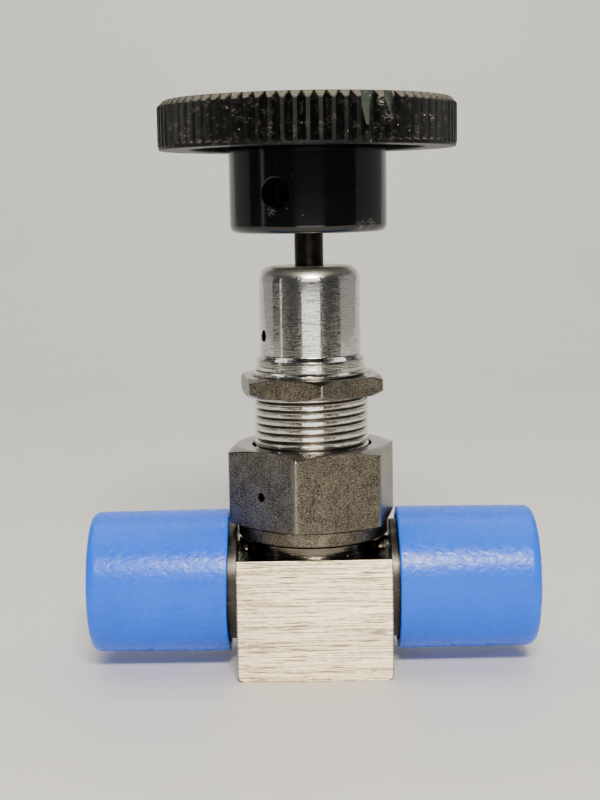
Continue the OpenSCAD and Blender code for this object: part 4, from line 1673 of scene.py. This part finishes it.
@dataclass(frozen=True)
class Handwheel:
    """The moulded handwheel: toothed rim, dished web, hollow underside and a plain hub.

    Each scuff is a patch of scratches: its distance from the axis, its angle in degrees, how far it
    is below the top, its reach and its strength. A tooth's columns are given from -0.5 to 0.5, and
    chipped teeth have those and even_columns more that are spread evenly.
    """

    place: Extent = extent_of("handwheel")
    insert: Extent = extent_of("handle_insert")
    screw: Extent = extent_of("set_screw")
    teeth: int = 80
    tooth_columns: tuple[float, ...] = (-0.5, -0.455, -0.31, -0.195, -0.155, 0.155, 0.195, 0.31, 0.455)
    even_columns: int = 27
    tooth_depth: float = 1.05
    flank_end: float = 0.49
    root_fill: float = 0.97
    crest: float = 0.62
    most_wear: float = 0.05
    bevel: float = 1.0
    bevel_ease: float = 0.1
    bevel_fade: float = 0.12
    rim_height: float = 7.8
    band_height: float = 0.45
    band_step: float = 0.15
    run_out: float = 0.7
    rows: tuple[int, int, int] = (6, 30, 8)
    row_gaps: tuple[float, float] = (0.2, 0.15)
    rim_wall: float = 5.1
    hollow_depth: float = 3.4
    dish_depth: float = 0.9
    lip: float = 0.6
    rim_fade: float = 1.0
    rim_margin: float = 0.2
    dish_foot: float = 0.3
    dish_top: float = 0.9
    top_edge: float = 1.9
    hub_radius: float = 12.9
    hub_round: float = 1.2
    web_cove: float = 1.4
    insert_radius: float = 6.35
    shaft_hole: float = 2.98
    screw_hole: Hole = Hole(2.4, early=0.5, sunk=0.25, wider=0.35, proud=0.1, past=0.6)
    screw_angle: float = -24.3
    chips: tuple[Chip, ...] = (
        Chip(5, 5.0, (1.25, 0.45), (
            (0.0, -0.74, 0.55), (0.26, -0.7, 0.3), (0.46, -0.55, 0.13), (0.75, -0.44, 0.04),
            (1.0, -0.3, -0.05),
        )),
        Chip(7, 3.3, (1.2, 0.4), (
            (0.0, -0.66, 0.16), (0.3, -0.5, 0.12), (0.6, -0.36, 0.02), (1.0, -0.2, -0.08),
        )),
    )
    scuffs: tuple[tuple[float, float, float, float, float], ...] = (
        (12.9, 40.0, 20.7, 1.7, 0.22), (12.9, 50.0, 20.3, 1.5, 0.26), (12.9, -69.0, 20.2, 0.7, 0.3),
        (24.3, 27.0, 1.6, 1.0, 0.6), (24.0, 29.5, 3.8, 1.4, 0.3), (24.0, 52.0, 3.9, 0.6, 0.4),
        (12.9, -27.0, 17.7, 0.9, 0.2),
    )
    finer_teeth: tuple[int, int] = (4, 9)
    seed: int = 7
    sharp: float = 38.0

    @property
    def rim_radius(self) -> float:
        """Radius of the tooth crests."""
        return float(self.place.high[0])

    @property
    def rim_low(self) -> float:
        """Height of the rim's lower face."""
        return float(self.place.high[2] - self.rim_height)

    def columns(self) -> tuple[Array, Array]:
        """Spreads the columns over the teeth.

        Nine columns make a tooth: two edges of the crest, their rounds, the flanks and the root.
        Teeth with chips have 35, so that the chips' edges run straight.

        Returns:
            Angles of the columns, and where each lies in its tooth, from -0.5 to 0.5.
        """
        share = np.array(self.tooth_columns)
        finer = np.union1d(share, np.linspace(-0.5, 0.5, self.even_columns + 1)[1:-1])
        start, end = self.finer_teeth
        parts = [share] * start + [finer] * (end - start) + [share] * (self.teeth - end)
        within = np.append(np.concatenate(parts), -0.5)
        tooth = np.append(np.repeat(np.arange(self.teeth), [len(part) for part in parts]), self.teeth)
        return (tooth + within) * TURN / self.teeth, within

    def groove(self, within: Array) -> Array:
        """Depth below the crest, with straight flanks from the crest's edge to a flat root.

        Args:
            within: Where each column lies in its tooth, from -0.5 to 0.5.

        Returns:
            The depth for each column.
        """
        edge = self.crest / 2 / (TURN * self.rim_radius / self.teeth)
        share = (np.abs(within) - edge) / (self.flank_end - edge)
        return self.tooth_depth * np.clip(share, 0, self.root_fill)

    def chipped(self, radius: Array, height: Array, angles: Array) -> tuple[Array, Array]:
        """Cuts the chips off the rim: each holds the radius under a plane that runs out downwards.

        Args:
            radius: The rim's radius, of shape (rows, angles).
            height: Height of each row, of shape (rows, 1).
            angles: Angles of the columns.

        Returns:
            The radius with the chips, and a mask that is 1 on their faces.
        """
        mask = np.zeros_like(radius)
        for chip in self.chips:
            drop = np.clip((self.place.high[2] - height) / chip.length, 0, 1)
            row, left_side, right_side = np.array(chip.outline).T
            left, right = np.interp(drop, row, left_side), np.interp(drop, row, right_side)
            plane = self.rim_radius - chip.depth[0] + (chip.depth[0] - chip.depth[1]) * drop**2
            offset = angles * self.teeth / TURN - chip.tooth
            cut = (offset >= left) & (offset <= right) & (drop < 1) & (radius > plane)
            radius, mask = np.where(cut, plane, radius), np.where(cut, 1.0, mask)
        return radius, mask

    def rim(self, angles: Array, within: Array) -> tuple[Array, dict[str, Array]]:
        """The toothed wall from its lower band up to the inner edge of the top bevel.

        The radius is the crest's less the groove's depth, held under the bevel's 45 degree cone and
        under each chip's plane. The grooves run out at the bottom on a quarter circle.

        Args:
            angles: Angles of the columns.
            within: Where each lies in its tooth.

        Returns:
            Points of shape (rows, angles, 3) and the masks of the material.
        """
        top = self.place.high[2]
        start = self.rim_low + self.band_height
        full, bevel_low = start + self.run_out, top - self.bevel
        spans = ((start, full), (full + self.row_gaps[0], bevel_low - self.row_gaps[1]), (bevel_low, top))
        height = np.concatenate([np.linspace(*span, rows) for span, rows in zip(spans, self.rows)])
        height = height[:, None]
        run_out = np.sqrt(1 - np.clip(1 - (height - start) / self.run_out, 0, 1) ** 2)
        rng = np.random.default_rng(self.seed)
        tooth = np.round((angles - within * TURN / self.teeth) * self.teeth / TURN).astype(int)
        wear = rng.uniform(0, self.most_wear, self.teeth + 1)[tooth % self.teeth]
        crest = self.rim_radius - self.band_step * (1 - run_out) - wear * run_out
        wall = crest - self.groove(within) * run_out
        cone = self.rim_radius - self.bevel + (top - height)
        bevel = np.clip((wall - cone) / self.bevel_fade + 0.5, 0, 1)
        radius = ease_min(wall, cone + 0 * wall, self.bevel_ease)
        radius, chip = self.chipped(radius, height, angles)
        profile = np.stack([radius, height + 0 * radius], axis=-1)
        points = turned(np.swapaxes(profile, 0, 1), angles)
        return points, {"bevel": bevel * (1 - chip), "chip": chip, "rim": np.ones_like(radius)}

    def build(self, finish: Material) -> Thing:
        """Adds the top and the underside to the rim, and drills the set screw's hole.

        Args:
            finish: The wheel's material, which reads the masks rim, bevel and chip.

        Returns:
            The piece.
        """
        angles, within = self.columns()
        rim, masks = self.rim(angles, within)
        top, hub_low = self.place.high[2], self.place.low[2]
        insert_low, insert_high = self.insert.low[2], self.insert.high[2]
        inner = self.rim_radius - self.rim_wall
        web, dish = self.rim_low + self.hollow_depth, top - self.dish_depth
        shell = Shell("wheel").add(rim, **masks)
        over = outline(
            (0, dish, 0), (inner - self.dish_foot, dish, 0.8), (inner + self.dish_top, top, 0.4),
            (self.rim_radius - self.top_edge, top, 0),
        )
        grid = np.concatenate([turned(over, angles), rim[-1:]])
        away = np.hypot(grid[..., 0], grid[..., 1])
        on_rim = np.clip((away - inner + self.rim_fade) / (2 * self.rim_fade), 0, 1)
        edge = np.zeros(grid.shape[:2])
        edge[-1] = masks["bevel"][-1]
        shell.add(grid[::-1], rim=on_rim[::-1], bevel=edge[::-1])
        band = self.rim_radius - self.band_step
        lip = outline(
            (band, self.rim_low + self.band_height, 0), (band, self.rim_low, self.band_height),
            (inner, self.rim_low, 0.4), (inner, self.rim_low + self.lip, 0), steps=5,
        )
        under = outline(
            (inner, self.rim_low, 0), (inner, web, 0.8), (self.hub_radius, web, self.web_cove),
            (self.hub_radius, hub_low, self.hub_round), (self.shaft_hole, hub_low, 0.3),
            (self.shaft_hole, insert_low, 0.1), (self.insert_radius, insert_low, 0.1),
            (self.insert_radius, insert_high, 0.2), (0, insert_high, 0),
        )
        grid = np.concatenate([rim[:1], turned(np.concatenate([lip, under[1:]]), angles)])
        away = np.hypot(grid[..., 0], grid[..., 1])
        on_rim = (away > inner - self.rim_margin) & (grid[..., 2] < web)
        shell.add(grid[::-1], rim=on_rim[::-1].astype(float))
        piece = shell.object(self.sharp)
        self.screw_hole.drill(
            piece, self.insert_radius, self.hub_radius, self.screw.middle[2], self.screw_angle, self.sharp
        )
        return settle(piece, Body.HANDLE, "black_phenolic", finish, "handwheel")

    def scuffed_spots(self) -> tuple[tuple[Point, float, float], ...]:
        """Finds the middle of each scuff in the part's frame.

        Returns:
            For each scuff its middle, its reach and its strength.
        """
        spots = []
        for radius, angle, below_top, reach, strength in self.scuffs:
            x, y = radius * math.sin(math.radians(angle)), -radius * math.cos(math.radians(angle))
            spots.append(((x, y, float(self.place.high[2]) - below_top), reach, strength))
        return tuple(spots)


@dataclass(frozen=True)
class Inside:
    """The pieces inside, which keep their CAD shapes and get their own metals."""

    steel: Material
    silver: Material
    brass: Material
    plastic: Material
    black: Material

    def dress(self) -> None:
        """Puts each finish on the slots of its CAD nodes."""
        worn_by = {
            self.steel: ("bellows_ring", "bellows", "guide_pin", "inner_stem", "bellows_head", "thrust_ball"),
            self.silver: ("body_gasket",),
            self.brass: ("handle_insert",),
            self.plastic: ("stem_tip",),
            self.black: ("set_screw",),
        }
        for finish, nodes in worn_by.items():
            for node in nodes:
                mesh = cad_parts[node].data
                mesh.materials.clear()
                mesh.materials.append(finish)
                LOG.info("%s: CAD shape, finish %s", node, finish.name)


# Studio


def facing(place: Array, aim: Array, roll: float) -> Any:
    """Euler angles of something at place that looks at aim, rolled about its line of sight.

    Args:
        place: Where it stands, in metres.
        aim: The point that it looks at, in metres.
        roll: Turn about the line of sight in radians, anticlockwise as it sees the scene.

    Returns:
        The rotation as Blender's Euler angles.
    """
    back = (place - aim) / np.linalg.norm(place - aim)
    right = np.cross([0.0, 0.0, 1.0], back)
    right = right / np.linalg.norm(right)
    up = np.cross(back, right)
    c, s = math.cos(roll), math.sin(roll)
    columns = np.stack([c * right + s * up, c * up - s * right, back], axis=1)
    return Matrix(columns.tolist()).to_euler()


@dataclass(frozen=True)
class SoftBox:
    """A rectangular soft light that faces a point.

    Its place and size are in metres. Its brightness is that of its white front, as mirrors show it.
    """

    name: str
    place: Point
    aim: Point
    size: tuple[float, float]
    brightness: float
    colour: str = "#ffffff"

    def build(self) -> Thing:
        """Makes the area light, whose power in watts is pi times brightness times area.

        Returns:
            The light.
        """
        lamp = bpy.data.lights.new(self.name, "AREA")
        lamp.shape = "RECTANGLE"
        lamp.size, lamp.size_y = self.size
        lamp.energy = math.pi * self.brightness * self.size[0] * self.size[1]
        lamp.color = linear(self.colour)[:3]
        thing = linked(self.name, lamp)
        thing.location = self.place
        thing.rotation_euler = facing(np.array(self.place), np.array(self.aim), 0.0)
        return thing


@dataclass(frozen=True)
class Camera:
    """The camera at the photograph's angle. Angles are in degrees and lengths in millimetres."""

    focal_length_px: float = 1456.84
    image_height_px: float = 800.0
    aim: Point = (-1.862, 0.0, 44.54)
    distance: float = 243.295
    elevation: float = 7.819
    roll: float = -0.946
    sensor: float = 36.0
    clip_start: float = 10.0

    def build(self) -> Thing:
        """Makes the camera, whose sensor's long side is the image's height.

        Returns:
            The camera.
        """
        lens = bpy.data.cameras.new("camera")
        lens.sensor_width = self.sensor
        lens.sensor_fit = "AUTO"
        lens.lens = self.sensor * self.focal_length_px / self.image_height_px
        lens.clip_start = self.clip_start * MM
        thing = linked("camera", lens)
        tilt = math.radians(self.elevation)
        aim = np.array(self.aim)
        place = aim + self.distance * np.array([0.0, -math.cos(tilt), math.sin(tilt)])
        thing.location = place * MM
        thing.rotation_euler = facing(place, aim, math.radians(self.roll))
        bpy.context.scene.camera = thing
        return thing


@dataclass(frozen=True)
class Studio:
    """A sheet of pale board that sweeps up behind the valve, soft lights and a dark room.

    The sheet ends in front of the valve. Beyond it the mirror-turned sleeve sees the front
    softboxes as its bright middle stripe, and the dark room beside them as the bands next to that.
    Two dim boards close the backdrop's sides, and the high key makes the ground block shine.
    Lengths are in metres.
    """

    floor_front: float = -0.17
    floor_back: float = 0.35
    sweep: float = 0.3
    wall: float = 0.9
    half_width: float = 0.6
    room: str = "#eceef0"
    room_strength: float = 0.075
    lights: tuple[SoftBox, ...] = (
        SoftBox("low_softbox", (0.016, -0.40, -0.085), (0.016, 0.0, -0.085), (0.29, 0.13), 2.7),
        SoftBox("middle_softbox", (0.016, -0.40, 0.0175), (0.016, 0.0, 0.0175), (0.29, 0.075), 1.9),
        SoftBox("high_softbox", (0.016, -0.40, 0.315), (0.016, 0.0, 0.315), (0.29, 0.37), 1.4),
        SoftBox("key_softbox", (0.03, -0.433, 0.37), (0.0, 0.0, 0.03), (0.16, 0.07), 112.0, "#fff4e2"),
        SoftBox("left_strip", (-0.39, -0.157, 0.08), (0.0, 0.0, 0.06), (0.028, 0.30), 1.1),
        SoftBox("left_board", (-0.5, 0.44, 0.1), (0.0, 0.44, 0.1), (0.84, 0.4), 0.25),
        SoftBox("right_board", (0.5, 0.35, 0.1), (0.0, 0.35, 0.1), (1.02, 0.4), 0.25),
        SoftBox("top_softbox", (0.0, 0.02, 0.5), (0.0, 0.02, 0.0), (0.8, 0.3), 1.8),
        SoftBox("backdrop_softbox", (0.0, 0.3, 0.62), (0.0, 0.65, 0.12), (0.8, 0.12), 8.0),
    )

    def build(self, board: Material) -> None:
        """Makes the sweep, the lights and the room's light.

        The sweep is one curved sheet: a level floor, a quarter circle and an upright wall.

        Args:
            board: The sheet's material.
        """
        t = np.linspace(0, math.pi / 2, 25)
        y = np.concatenate([[self.floor_front], self.floor_back + self.sweep * np.sin(t)])
        z = np.concatenate([[0.0], self.sweep * (1 - np.cos(t))])
        y, z = np.append(y, y[-1]), np.append(z, self.wall)
        x = np.linspace(-self.half_width, self.half_width, 9)
        grid = np.stack([np.broadcast_to(part, (len(x), len(y))) for part in (x[:, None], y, z)], -1) / MM
        sheet = Shell("pale_sweep").add(grid).object()
        sheet.data.materials.append(board)
        for light in self.lights:
            light.build()
        world = bpy.data.worlds.new("room")
        world.use_nodes = True
        world.node_tree.nodes.clear()
        inputs = {"Color": self.room, "Strength": self.room_strength}
        glow = add_node(world.node_tree, "Background", inputs)
        add_node(world.node_tree, "OutputWorld", {"Surface": glow})
        bpy.context.scene.world = world


def main() -> None:
    """Builds the camera and the studio, then the valve from the block up."""
    logging.basicConfig(level=logging.INFO, format="%(name)s: %(message)s")
    Camera().build()
    Studio().build(PaintedBoard().material())
    Block().build(MilledSteel().material())
    ends = MirrorTurnedSteel("turned_stainless_end", axis=(1.0, 0.0, 0.0)).material()
    caps = SoftPolyethylene().material()
    for side, end, cap, body in (
        (Side.LEFT, "left_end", "left_cap", Body.LEFT_CAP),
        (Side.RIGHT, "right_end", "right_cap", Body.RIGHT_CAP),
    ):
        ThreadedEnd(side, end).build(ends)
        PortCap(side, cap, body, phase=0.7 * side.value).build(caps)
    nuts = TumbledSteel().material()
    UnionNut().build(nuts)
    PanelNut().build(nuts)
    Bonnet().build(MirrorTurnedSteel().material())
    black = BlackOxideSteel().material()
    DriveStem().build(black)
    wheel = Handwheel()
    wheel.build(MouldedPhenolic(scuffs=wheel.scuffed_spots()).material())
    Inside(
        steel=PlainMetal("turned_stainless").material(),
        silver=PlainMetal("silver_plated_nickel", pale="#dcdcde", dark="#c6c6ca").material(),
        brass=PlainMetal("turned_brass", pale="#c9a35c", dark="#a8854a").material(),
        plastic=MachinedFluoropolymer().material(),
        black=black,
    ).dress()


if __name__ == "__main__":
    main()
